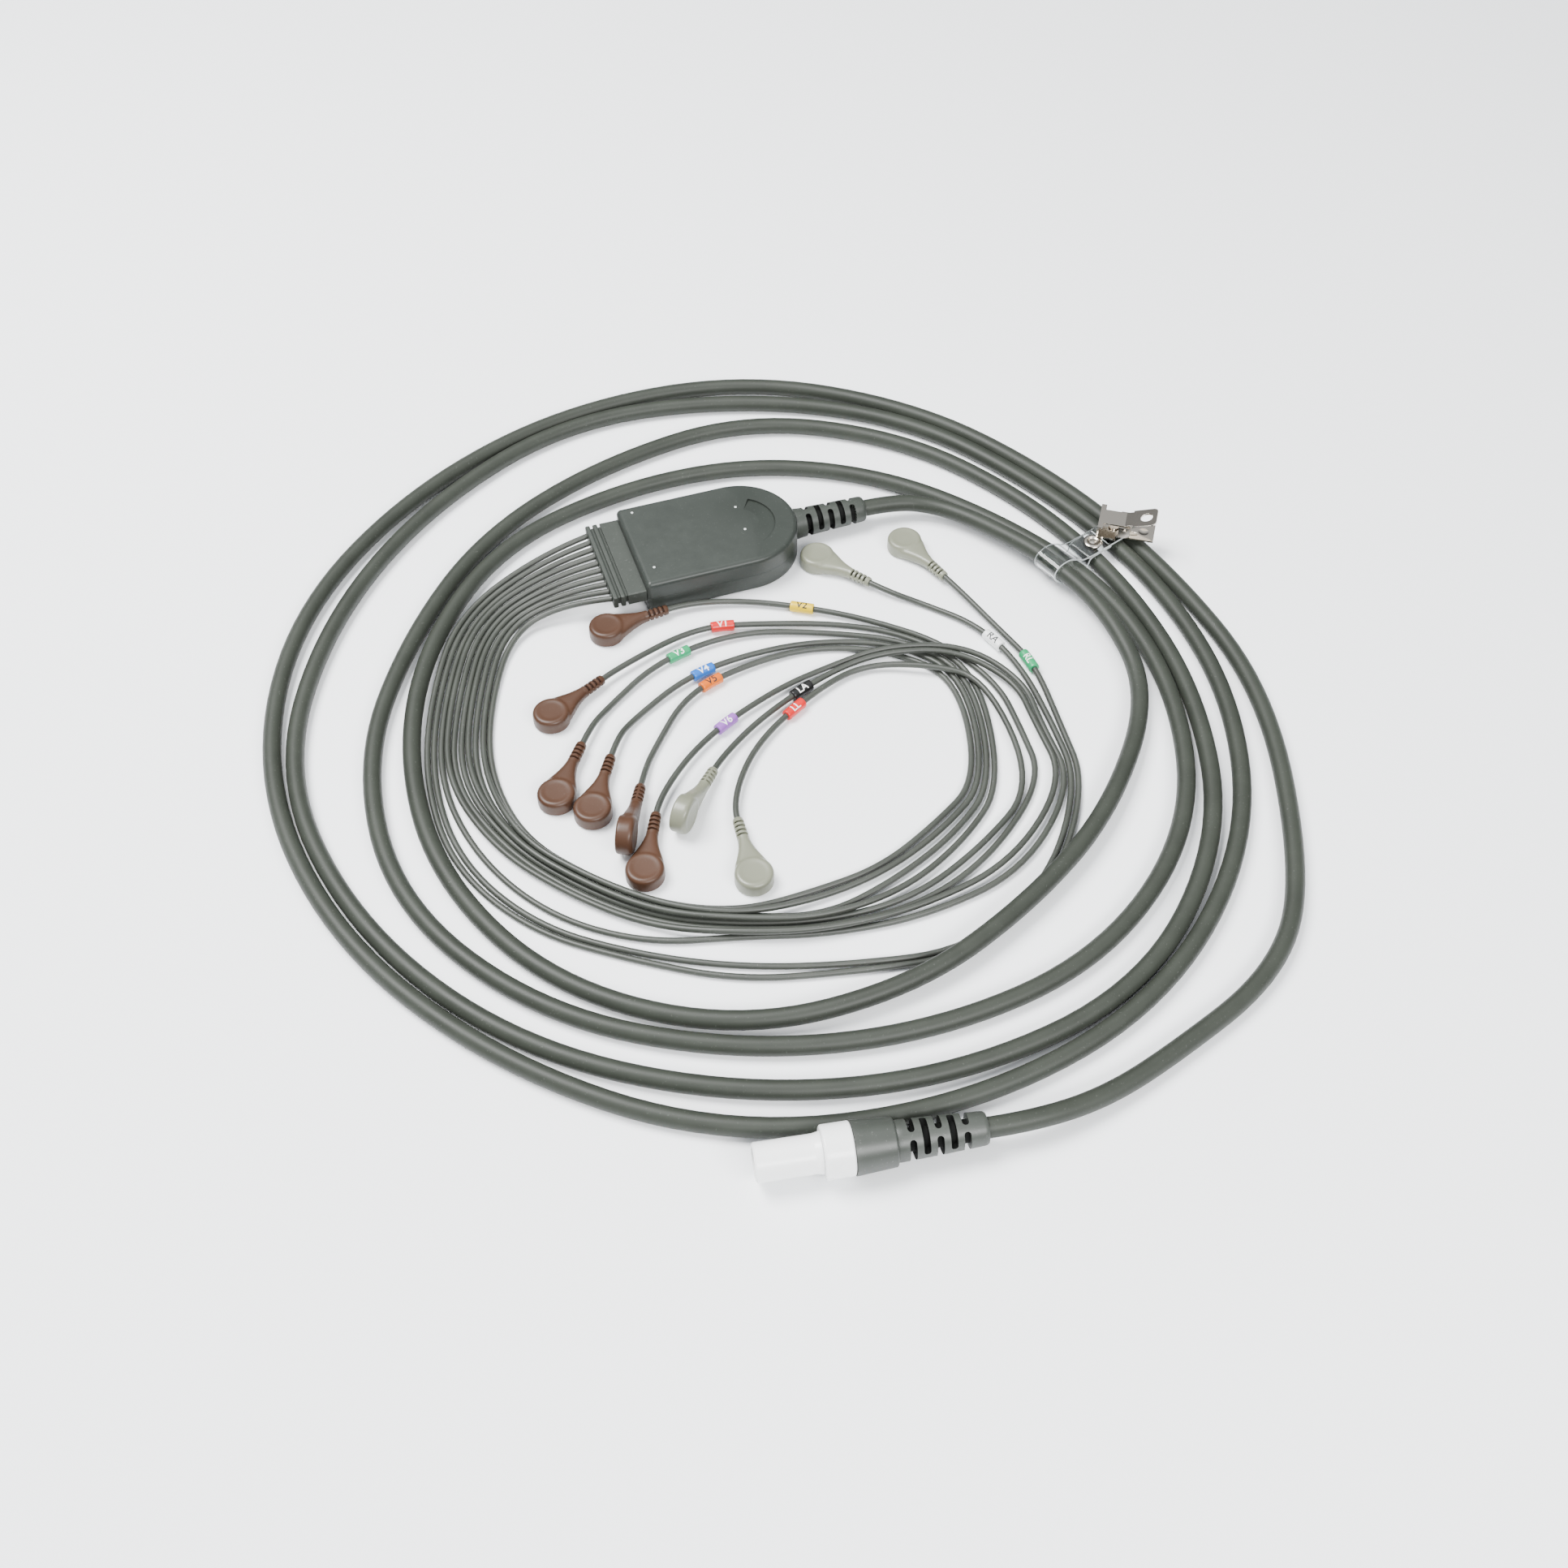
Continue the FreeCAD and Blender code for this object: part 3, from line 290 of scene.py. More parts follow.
# ---- Trunk strain relief, stripped tail and crimp ferrule -------------------------------------
# The relief is moulded round the trunk; rows of slots with two webs each let it bend. Inside
# the yoke the stripped tail is held by a nickel-plated ferrule.


def new_object(name, data):
    """An object in the scene that holds this mesh, curve or lettering."""
    obj = bpy.data.objects.new(name, data)
    bpy.context.collection.objects.link(obj)
    return obj


def evaluated(obj):
    """A new mesh of the object as its curve or its modifiers shape it."""
    bpy.context.view_layer.update()
    return bpy.data.meshes.new_from_object(
        obj.evaluated_get(bpy.context.evaluated_depsgraph_get()))


def mesh_from(bm, name):
    """A smooth-shaded mesh of what was built, with its normals outward."""
    bmesh.ops.recalc_face_normals(bm, faces=bm.faces)
    mesh = bpy.data.meshes.new(name)
    bm.to_mesh(mesh)
    bm.free()
    for face in mesh.polygons:
        face.use_smooth = True
    return mesh


def piece(name, mesh, mat, body):
    """A finished piece: its mesh, its material and the body it rides on."""
    obj = new_object(name, mesh)
    mesh.materials.append(mat)
    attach(obj, body)
    return obj


def sharpen(mesh, degrees):
    """Smooth shading that breaks at corners sharper than this."""
    bm = bmesh.new()
    bm.from_mesh(mesh)
    for edge in bm.edges:
        if len(edge.link_faces) == 2 and edge.calc_face_angle(0) > math.radians(degrees):
            edge.smooth = False
    bm.to_mesh(mesh)
    bm.free()


MM = 0.001
BOOT_SIDES = 72
SLOT_MEAN_R = 6.0          # radius where the round ends of a slot are true
SLOT_OUT_R = 9.5           # outside every boot, so that a slot is open
SLOT_ARC = math.radians(15)
SLOT_MIDDLES = 18          # steps along a slot between its round ends
SLOTS = 5
SKIN_DEPTH = 0.55          # a face further in than this is inside a slot


def skin_rings(bm, rings):
    """Faces between rings of corners, with a face over each end."""
    for a, b in zip(rings, rings[1:]):
        for i in range(len(a)):
            j = (i + 1) % len(a)
            bm.faces.new((a[i], a[j], b[j], b[i]))
    bm.faces.new(list(reversed(rings[0])))
    bm.faces.new(rings[-1])


def slot_row(first, pitch, width, middles, spans):
    """The slots along a boot: the angles, in degrees, go by turns through each pair."""
    return [(first + pitch * k, width, math.radians(middles[k % 2]), math.radians(spans[k % 2]))
            for k in range(SLOTS)]


def boot(name, start, heading, profile, slots, core):
    """A slotted strain relief: a turned sleeve with round-ended slots cut into it.

    Profile and slots are in millimetres from its start; core is the radius left uncut."""
    frame_x = Vector((math.cos(heading), math.sin(heading), 0))
    frame_y = Vector((-math.sin(heading), math.cos(heading), 0))
    frame_z = Vector((0, 0, 1))

    def at(x, r, turn):
        return start + (frame_x * x + frame_y * r * math.cos(turn)
                        + frame_z * r * math.sin(turn)) * MM

    bm = bmesh.new()
    skin_rings(bm, [[bm.verts.new(at(x, r, 2 * math.pi * k / BOOT_SIDES))
                     for k in range(BOOT_SIDES)] for x, r in profile])
    body = new_object(name, mesh_from(bm, name))
    bm = bmesh.new()
    for x, width, middle, span in slots:
        half = width / 2
        round_end = half / SLOT_MEAN_R
        steps = [-span / 2 + round_end * (1 - math.cos(SLOT_ARC * k)) for k in range(1, 7)]
        turns = steps + [-span / 2 + round_end + (span - 2 * round_end) * k / SLOT_MIDDLES
                         for k in range(1, SLOT_MIDDLES)] + [-t for t in reversed(steps)]
        for opposite in (0, math.pi):
            loops = []
            for t in turns:
                past = max(0.0, abs(t) - (span / 2 - round_end)) / round_end
                w = half * math.sqrt(max(0.0, 1 - past * past))
                loops.append([bm.verts.new(at(px, r, middle + opposite + t)) for px, r in (
                    (x - w, core), (x + w, core), (x + w, SLOT_OUT_R), (x - w, SLOT_OUT_R))])
            skin_rings(bm, loops)
    cutter = new_object("slot_cutter", mesh_from(bm, "slot_cutter"))
    cut = body.modifiers.new("slots", "BOOLEAN")
    cut.operation = "DIFFERENCE"
    cut.solver = "EXACT"
    cut.object = cutter
    mesh = evaluated(body)
    bpy.data.objects.remove(body)
    bpy.data.objects.remove(cutter)
    mesh.name = name
    mesh.materials.clear()
    for face in mesh.polygons:
        local = (face.center - start) / MM
        x = local.dot(frame_x)
        away = (local - frame_x * x).length
        skin_r = max(r for px, r in profile if abs(px - x) == min(abs(q - x) for q, _ in profile))
        inside = away < skin_r - SKIN_DEPTH and profile[1][0] + 1 < x < profile[-1][0] - 1
        face.material_index = 1 if inside else 0
    sharpen(mesh, 35)
    return mesh


trunk_boot_mesh = boot(
    "trunk_boot", Vector((0.0425, 0, 0.008)), 0.0,
    [(-1.2, 3.9), (-1.2, 6.4), (0.6, 6.45), (2.6, 6.2), (15, 5.8), (29.4, 5.42), (30.4, 5.2),
     (30.9, 4.8), (31, 4.2), (31, 3.6)],
    slot_row(5.4, 4.9, 2.3, (185, 126), (156, 128)), 3.75)
trunk_boot = piece("trunk_boot", trunk_boot_mesh, comb_pvc, "harness")
slot_shade = moulded("slot_shade", (0.004, 0.0045, 0.004), 0.7, dust=0.0, wear=0.0, specular=0.1)
trunk_boot_mesh.materials.append(slot_shade)
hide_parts("trunk_relief")
finish_node("trunk_tail", cable_pvc)
nickel = plated("nickel", (0.6, 0.555, 0.49), 0.1, scuffs=0.18, bump=0.02)
finish_node("crimp_ferrule", nickel)

# ---- Plug -----------------------------------------------------------------------------------
# A round 12-way plug: slotted grey relief, tapered grey body, white collar and white nose.
# The nose is a thin tube round an insulator that holds twelve gold-plated socket contacts.
plug_grey = moulded("plug_grey", (0.036, 0.041, 0.035), 0.4, bump=0.22, dust=0.06, specular=0.45,
                    round_edge=0.0002)
plug_white = moulded("plug_white", (0.93, 0.94, 0.935), 0.28, grain_scale=1200.0, lift=0.03,
                     dust=0.0, bump=0.06, coat=0.15, wear=0.0, round_edge=0.0002)
insulator = moulded("insulator_grey", (0.32, 0.33, 0.32), 0.5, lift=0.1)
PLUG_END = Vector((0.007, -0.291, 0.009))
PLUG_HEADING = math.radians(170.7)
plug_boot_mesh = boot(
    "plug_boot", PLUG_END, PLUG_HEADING,
    [(0, 3.6), (0, 4.4), (0.2, 5.0), (0.8, 5.35), (1.6, 5.5), (14, 6.15), (27.5, 6.72),
     (29, 6.75), (29.8, 6.6), (29.8, 3.6)],
    slot_row(7.4, 4.4, 2.2, (-20, 70), (158, 128)), 3.8)
plug_boot = piece("plug_boot", plug_boot_mesh, plug_grey, "harness")
plug_boot_mesh.materials.append(slot_shade)
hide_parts("plug_relief")
for node, mat in (("plug_body", plug_grey),
                  ("plug_collar", plug_white), ("plug_nose", plug_white),
                  ("plug_insulator", insulator), ("plug_contacts", gold_pin)):
    finish_node(node, mat)

# ---- Garment clip: strap, press stud and rivet -------------------------------------------------
# A band of clear vinyl is looped round two turns of the trunk and closed by a nickel press
# stud; a rivet at its end carries the spring clip, which turns on it.
STRAP_HEADING = math.radians(19.2)
STRAP_AT = Vector((0.134, -0.0595, 0))
STRAP_PATH = [(42.5, 8.6), (28, 8.6), (13, 8.6), (8, 12.4), (2.5, 14.6), (-3.6, 12.6), (-3.4, 7),
              (4.5, 0.75), (12.5, 0.65), (16.2, 3.6), (17, 7.7), (23, 7.7), (29.2, 7.7)]
STRAP_HALF_W = 0.006
STRAP_HALF_T = 0.0004
STUD_AT = 0.0242
CAP_SEAT = 0.009
CAP_SIDES = 56
BAND_SECTION = ((-1, -0.8), (-1, 0.8), (-0.985, 1), (0.985, 1),
                (1, 0.8), (1, -0.8), (0.985, -1), (-0.985, -1))
CUT_SHARE = 0.98           # further out than this share of the half width is the cut edge


def lay(curve, points):
    """One smooth spline with these control points."""
    spline = curve.splines.new("NURBS")
    spline.points.add(len(points) - 1)
    for point, at in zip(spline.points, points):
        point.co = (*at, 1)
    spline.order_u = 3
    spline.use_endpoint_u = True
    return spline


def centre_line(curve):
    """Points along a curve's own spline, read from a copy with no bevel."""
    bare = curve.copy()
    bare.bevel_depth = 0.0
    obj = new_object("bare_line", bare)
    mesh = evaluated(obj)
    points = [v.co.copy() for v in mesh.vertices]
    bpy.data.objects.remove(obj)
    bpy.data.curves.remove(bare)
    bpy.data.meshes.remove(mesh)
    return points


along_strap = Vector((math.cos(STRAP_HEADING), math.sin(STRAP_HEADING), 0))
over_strap = Vector((-math.sin(STRAP_HEADING), math.cos(STRAP_HEADING), 0))
band_line = bpy.data.curves.new("strap_line", "CURVE")
band_line.dimensions = "3D"
band_line.resolution_u = 12
lay(band_line, [(s / 1000, 0, z / 1000) for s, z in STRAP_PATH])
band = centre_line(band_line)
bm = bmesh.new()
sections = []
for i, here in enumerate(band):
    go = (band[min(i + 1, len(band) - 1)] - band[max(i - 1, 0)]).normalized()
    out = Vector((-go.z, 0, go.x))
    section = []
    for side, face in BAND_SECTION:
        flat = here + out * face * STRAP_HALF_T
        section.append(bm.verts.new(STRAP_AT + along_strap * flat.x + Vector((0, 0, flat.z))
                                    + over_strap * side * STRAP_HALF_W))
    sections.append(section)
skin_rings(bm, sections)
strap_mesh = mesh_from(bm, "vinyl_strap")
sharpen(strap_mesh, 30)

clear_vinyl = bpy.data.materials.new("clear_vinyl")
clear_vinyl.use_nodes = True
vinyl = clear_vinyl.node_tree.nodes["Principled BSDF"]
vinyl.inputs["Base Color"].default_value = (0.93, 0.95, 0.95, 1)
vinyl.inputs["Transmission Weight"].default_value = 1.0
vinyl.inputs["IOR"].default_value = 1.1
vinyl.inputs["Coat Weight"].default_value = 0.7
vinyl.inputs["Coat Roughness"].default_value = 0.04
ripple = add(clear_vinyl.node_tree, "ShaderNodeTexNoise", Scale=90.0, Detail=2.0)
vinyl_relief = add(clear_vinyl.node_tree, "ShaderNodeBump", Strength=0.12, Distance=0.0004)
haze = add(clear_vinyl.node_tree, "ShaderNodeMapRange", To_Min=0.0, To_Max=0.07)
vinyl_at = add(clear_vinyl.node_tree, "ShaderNodeTexCoord")
join(clear_vinyl.node_tree,
     (vinyl_at.outputs["Object"], ripple.inputs["Vector"]),
     (ripple.outputs["Fac"], vinyl_relief.inputs["Height"]),
     (vinyl_relief.outputs["Normal"], vinyl.inputs["Normal"]),
     (ripple.outputs["Fac"], haze.inputs["Value"]),
     (haze.outputs["Result"], vinyl.inputs["Roughness"]))
strap = piece("vinyl_strap", strap_mesh, clear_vinyl, "harness")
# The narrow cut edges of the strap are painted an opaque milky grey: painted highlight for the
# bright lines along the edges of the clear band.
painted_edge_highlight = moulded("vinyl_cut_edge", (0.5, 0.53, 0.53), 0.3, lift=0.1, dust=0.0, wear=0.0)
strap_mesh.materials.append(painted_edge_highlight)
for face in strap_mesh.polygons:
    side = abs((face.center - STRAP_AT).dot(over_strap))
    face.material_index = 1 if side > STRAP_HALF_W * CUT_SHARE else 0
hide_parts("clip_strap")

bm = bmesh.new()
stud_centre = STRAP_AT + along_strap * STUD_AT
lathe = [(0.0, 0.30), (0.5, 0.33), (0.95, 0.28), (1.25, 0.10), (1.75, 0.08), (2.05, 0.30),
         (2.35, 0.50), (2.9, 0.58), (3.45, 0.53), (3.85, 0.32), (4.0, 0.12), (3.95, 0.0),
         (1.2, 0.0), (1.2, -0.8), (0.0, -0.8)]
turned = []
for r, z in lathe:
    count = 1 if r == 0 else CAP_SIDES
    turned.append([bm.verts.new(stud_centre + Vector((
        r * math.cos(2 * math.pi * k / count), r * math.sin(2 * math.pi * k / count), z)) * MM
        + Vector((0, 0, CAP_SEAT))) for k in range(count)])
for a, b in zip(turned, turned[1:]):
    for k in range(CAP_SIDES):
        corners = [a[k % len(a)], a[(k + 1) % len(a)], b[(k + 1) % len(b)], b[k % len(b)]]
        bm.faces.new(list(dict.fromkeys(corners)))
cap_mesh = mesh_from(bm, "press_stud_cap")
sharpen(cap_mesh, 50)
stud = piece("press_stud_cap", cap_mesh, nickel, "harness")
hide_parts("stud_cap")
finish_node("stud_socket", nickel)
finish_node("clip_rivet", nickel)

# ---- Spring clip ---------------------------------------------------------------------------
# Two stamped and nickel-plated plates on a riveted pin: the lower has ears and a toothed lip, the
# upper a toothed lip and a pierced wing. A wound spring round the pin keeps the jaw shut.
for node in ("clip_base", "clip_lever", "clip_pin"):
    finish_node(node, nickel)
pin_low, pin_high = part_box("clip_pin")
pin_mid = (pin_low + pin_high) / 2
CLIP_HEADING = math.radians(-33.0)
across = Vector((-math.sin(CLIP_HEADING), math.cos(CLIP_HEADING), 0))
ahead = Vector((math.cos(CLIP_HEADING), math.sin(CLIP_HEADING), 0))
upward = Vector((0, 0, 1))
WIRE = 0.00036
COIL = 0.00122
TURNS = 5
TURN_STEPS = 20
HALF_WOUND = 0.0021        # the winding, each way from the middle of the pin
LEG_AHEAD = 0.0055
LEG_DOWN = 0.0021
coil = bpy.data.curves.new("clip_spring_wire", "CURVE")
coil.dimensions = "3D"
coil.bevel_depth = WIRE / 2
coil.bevel_resolution = 4
steps = TURNS * TURN_STEPS
wound = [pin_mid - across * HALF_WOUND + ahead * LEG_AHEAD - upward * LEG_DOWN]
for i in range(steps + 1):
    a = math.radians(-60) + 2 * math.pi * i / TURN_STEPS
    offset = HALF_WOUND * (2 * i / steps - 1)
    wound.append(pin_mid + across * offset + (ahead * math.cos(a) + upward * math.sin(a)) * COIL)
line = coil.splines.new("POLY")
line.points.add(len(wound) - 1)
for point, at in zip(line.points, wound):
    point.co = (*at, 1)
spring = new_object("clip_torsion_spring", coil)
spring.data.materials.append(nickel)
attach(spring, "clip_frame")
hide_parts("clip_spring")

# ---- Trunk cable -----------------------------------------------------------------------------
# 4.62 m of round screened cable in a grey PVC jacket, coiled four and a half times on the
# table. Its first turn crosses over the leads, and its last runs out to the plug.
trunk_curve = bpy.data.curves.new("trunk", "CURVE")
trunk_curve.dimensions = "3D"
trunk_curve.bevel_depth = 0.0035
trunk_curve.bevel_resolution = 8
trunk_curve.resolution_u = 10
TRUNK = [
    (0.0735, 0, 0.008), (0.089, -0.0006, 0.008), (0.103, -0.007, 0.0072), (0.114, -0.019, 0.0077),
    (0.124, -0.0355, 0.0088), (0.1335, -0.053, 0.0095), (0.145, -0.089, 0.009),
    (0.1435, -0.133, 0.004), (0.1035, -0.1825, 0.0065), (0.0595, -0.2115, 0.0065),
    (0.006, -0.2325, 0.0065), (-0.056, -0.2285, 0.004), (-0.11, -0.1915, 0.0035),
    (-0.138, -0.133, 0.0035), (-0.138, -0.0705, 0.0035), (-0.1175, -0.014, 0.0035),
    (-0.077, 0.0325, 0.0035), (-0.019, 0.0505, 0.0035), (0.039, 0.0485, 0.0035),
    (0.091, 0.022, 0.0035), (0.1275, -0.0225, 0.0042), (0.153, -0.0755, 0.005),
    (0.154, -0.1365, 0.0035), (0.1285, -0.199, 0.0035), (0.073, -0.241, 0.0035),
    (0.0055, -0.25, 0.0035), (-0.06, -0.2355, 0.0035), (-0.118, -0.1995, 0.0035),
    (-0.155, -0.1385, 0.0035), (-0.1535, -0.068, 0.0035), (-0.124, -0.0095, 0.0035),
    (-0.0825, 0.0395, 0.0035), (-0.024, 0.0685, 0.0035), (0.0455, 0.079, 0.0035),
    (0.108, 0.044, 0.0035), (0.1445, -0.0125, 0.0035), (0.1615, -0.074, 0.0035),
    (0.161, -0.139, 0.0035), (0.137, -0.206, 0.0035), (0.081, -0.2575, 0.0035),
    (0.005, -0.2685, 0.0035), (-0.067, -0.2505, 0.0035), (-0.1295, -0.209, 0.0035),
    (-0.1705, -0.144, 0.0035), (-0.184, -0.0655, 0.0035), (-0.1545, 0.009, 0.0035),
    (-0.102, 0.0665, 0.0035), (-0.03, 0.104, 0.0035), (0.05, 0.0935, 0.0035),
    (0.1165, 0.0555, 0.0035), (0.1545, -0.007, 0.0035), (0.175, -0.0725, 0.0035),
    (0.174, -0.144, 0.0035), (0.144, -0.213, 0.0035), (0.0835, -0.264, 0.0035),
    (0.0055, -0.28, 0.0035), (-0.0735, -0.2645, 0.0035), (-0.1355, -0.214, 0.0035),
    (-0.178, -0.1465, 0.0035), (-0.1915, -0.065, 0.0035), (-0.167, 0.016, 0.0035),
    (-0.108, 0.076, 0.0035), (-0.0315, 0.11, 0.0035), (0.053, 0.1075, 0.0035),
    (0.122, 0.0615, 0.0035), (0.1615, -0.003, 0.0035), (0.182, -0.072, 0.0035),
    (0.1875, -0.1465, 0.0035), (0.1555, -0.2315, 0.0035), (0.126, -0.266, 0.0035),
    (0.072, -0.285, 0.0035), (0.046, -0.2915, 0.005), (0.0208, -0.2933, 0.009),
    (0.007, -0.291, 0.009)]
lay(trunk_curve, TRUNK)
trunk_curve.materials.append(cable_pvc)
trunk = new_object("trunk", trunk_curve)
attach(trunk, "harness")
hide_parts("trunk_cable")

# ---- Snaps ---------------------------------------------------------------------------------
# Each lead ends in a press-on snap: a soft moulded head with a dished top and a metal socket
# for the electrode's stud, a neck and a grooved relief. Brown for the chest, pale grey for limbs.
HEAD_R = 7.2
HEAD_T = 6.4
REACH = 26.5
RELIEF = 10.0
AXIS = 3.6
SOCKET_R = 2.77
SOCKET_TOP = 4.12
RELIEF_R = 2.3
GROOVES = 4
GROOVE_PITCH = 2.0
GROOVE_CORE_R = 1.35


def ring_of(bm, centre, axes, rx, ry, count=48, power=2.0):
    """A ring of corners in the plane of two axes; a power above 2 squares it off."""
    u, v = axes
    out = []
    for i in range(count):
        a = 2 * math.pi * i / count
        c, s = math.cos(a), math.sin(a)
        x = math.copysign(abs(c) ** (2 / power), c) * rx
        y = math.copysign(abs(s) ** (2 / power), s) * ry
        out.append(bm.verts.new(centre + u * x + v * y))
    return out


def modified(mesh, name, *mods):
    """The mesh after these modifiers, as a new mesh."""
    obj = new_object(name, mesh)
    for kind, settings in mods:
        mod = obj.modifiers.new(kind, kind)
        for key, value in settings.items():
            setattr(mod, key, value)
    out = evaluated(obj)
    bpy.data.objects.remove(obj)
    out.name = name
    return out


ex, ey, ez = Vector((1, 0, 0)), Vector((0, 1, 0)), Vector((0, 0, 1))
bm = bmesh.new()
head_rings = []
for z, inset in ((0, 0.6), (0.18, 0.2), (0.6, 0), (HEAD_T - 1.5, 0), (HEAD_T - 0.9, 0.15),
                 (HEAD_T - 0.35, 0.6), (HEAD_T - 0.02, 1.3), (HEAD_T, 1.7),
                 (HEAD_T - 0.12, 2.2), (HEAD_T - 0.26, 3.0), (HEAD_T - 0.3, 6.6)):
    head_rings.append(ring_of(bm, Vector((0, 0, z)), (ex, ey), HEAD_R - inset, HEAD_R - inset))
skin_rings(bm, head_rings)
neck_rings = []
for x, half_w, half_t, z, power in (
        (0, 6.75, 2.85, 3.2, 3.4), (3, 6.6, 2.85, 3.2, 3.4), (5.5, 5.9, 2.8, 3.2, 3.3),
        (7.5, 5.0, 2.72, 3.25, 3.2), (9.5, 4.1, 2.62, 3.35, 3.0), (11.5, 3.35, 2.5, 3.45, 2.7),
        (13.5, 2.8, 2.4, 3.55, 2.4), (15.2, 2.45, 2.33, AXIS, 2.2),
        (REACH - RELIEF + 0.4, RELIEF_R, RELIEF_R, AXIS, 2.0)):
    neck_rings.append(ring_of(bm, Vector((x, 0, z)), (ey, ez), half_w, half_t, power=power))
skin_rings(bm, neck_rings)
raw = mesh_from(bm, "snap_raw")
raw.transform(Matrix.Scale(MM, 4))
blended = modified(raw, "snap_blended",
                   ("REMESH", {"mode": "VOXEL", "voxel_size": 0.00032}),
                   ("SMOOTH", {"factor": 0.5, "iterations": 12}),
                   ("DECIMATE", {"ratio": 0.45}))
bm = bmesh.new()
skin_rings(bm, [ring_of(bm, Vector((0, 0, z)), (ex, ey), SOCKET_R + 0.02, SOCKET_R + 0.02)
                for z in (-1.0, SOCKET_TOP)])
cutter_mesh = mesh_from(bm, "socket_cutter")
cutter_mesh.transform(Matrix.Scale(MM, 4))
cutter = new_object("socket_cutter", cutter_mesh)
head_mesh = modified(blended, "snap_head",
                     ("BOOLEAN", {"operation": "DIFFERENCE", "object": cutter, "solver": "EXACT"}))
bpy.data.objects.remove(cutter)
bm = bmesh.new()
bm.from_mesh(head_mesh)
lathe = [(REACH - RELIEF - 0.3, RELIEF_R)]
for k in range(GROOVES):
    at = REACH - RELIEF + 1.2 + GROOVE_PITCH * k
    r = RELIEF_R - 0.05 * k
    lathe += [(at, r), (at + 0.1, r - 0.1), (at + 0.12, GROOVE_CORE_R),
              (at + 0.98, GROOVE_CORE_R), (at + 1.0, r - 0.12), (at + 1.1, r - 0.03)]
lathe += [(REACH - 0.35, 1.98), (REACH - 0.05, 1.8), (REACH, 1.3)]
skin_rings(bm, [ring_of(bm, Vector((x, 0, AXIS)) * MM, (ey, ez), r * MM, r * MM, 28)
                for x, r in lathe])
for side in (-1, 1):
    skin_rings(bm, [ring_of(bm, Vector((x, side * y, AXIS)) * MM, (ey, ez), 0.0005, 0.00055, 16)
                    for x, y in ((REACH - RELIEF + 0.6, 1.72), (REACH - 1.4, 1.5))])
snap_mesh = mesh_from(bm, "snap")
sharpen(snap_mesh, 40)
# Faces on the floor of the relief's grooves take the second slot, which holds painted shade: a
# near-black copy of the snap's colour for the shadow inside the grooves.
for face in snap_mesh.polygons:
    x, y, z = face.center / MM
    in_groove = REACH - RELIEF + 0.8 < x < REACH - 0.9 and math.hypot(y, z - AXIS) < 1.6
    face.material_index = 1 if in_groove and abs(y) < 1.2 else 0

snap_brown = moulded("snap_brown", (0.053, 0.0245, 0.0135), 0.4, grain_scale=1500.0, lift=0.14,
                     dust=0.02, bump=0.1, coat=0.02, specular=0.28, wear=0.15)
snap_grey = moulded("snap_grey", (0.165, 0.172, 0.124), 0.36, grain_scale=1500.0, lift=0.06,
                    dust=0.0, bump=0.08, coat=0.1, wear=0.1)
# Painted shade: near-black brown and grey that stand in for the shadow inside the relief's
# grooves.
groove_painted_shade_brown = moulded("groove_painted_shade_brown", (0.018, 0.007, 0.004), 0.6, dust=0.0, wear=0.0,
                       specular=0.15)
groove_painted_shade_grey = moulded("groove_painted_shade_grey", (0.01, 0.0105, 0.008), 0.6, dust=0.0, wear=0.0,
                      specular=0.15)
bright_cup = plated("socket_nickel", (0.7, 0.68, 0.64), 0.2)
finish_node("snap_contacts", bright_cup)

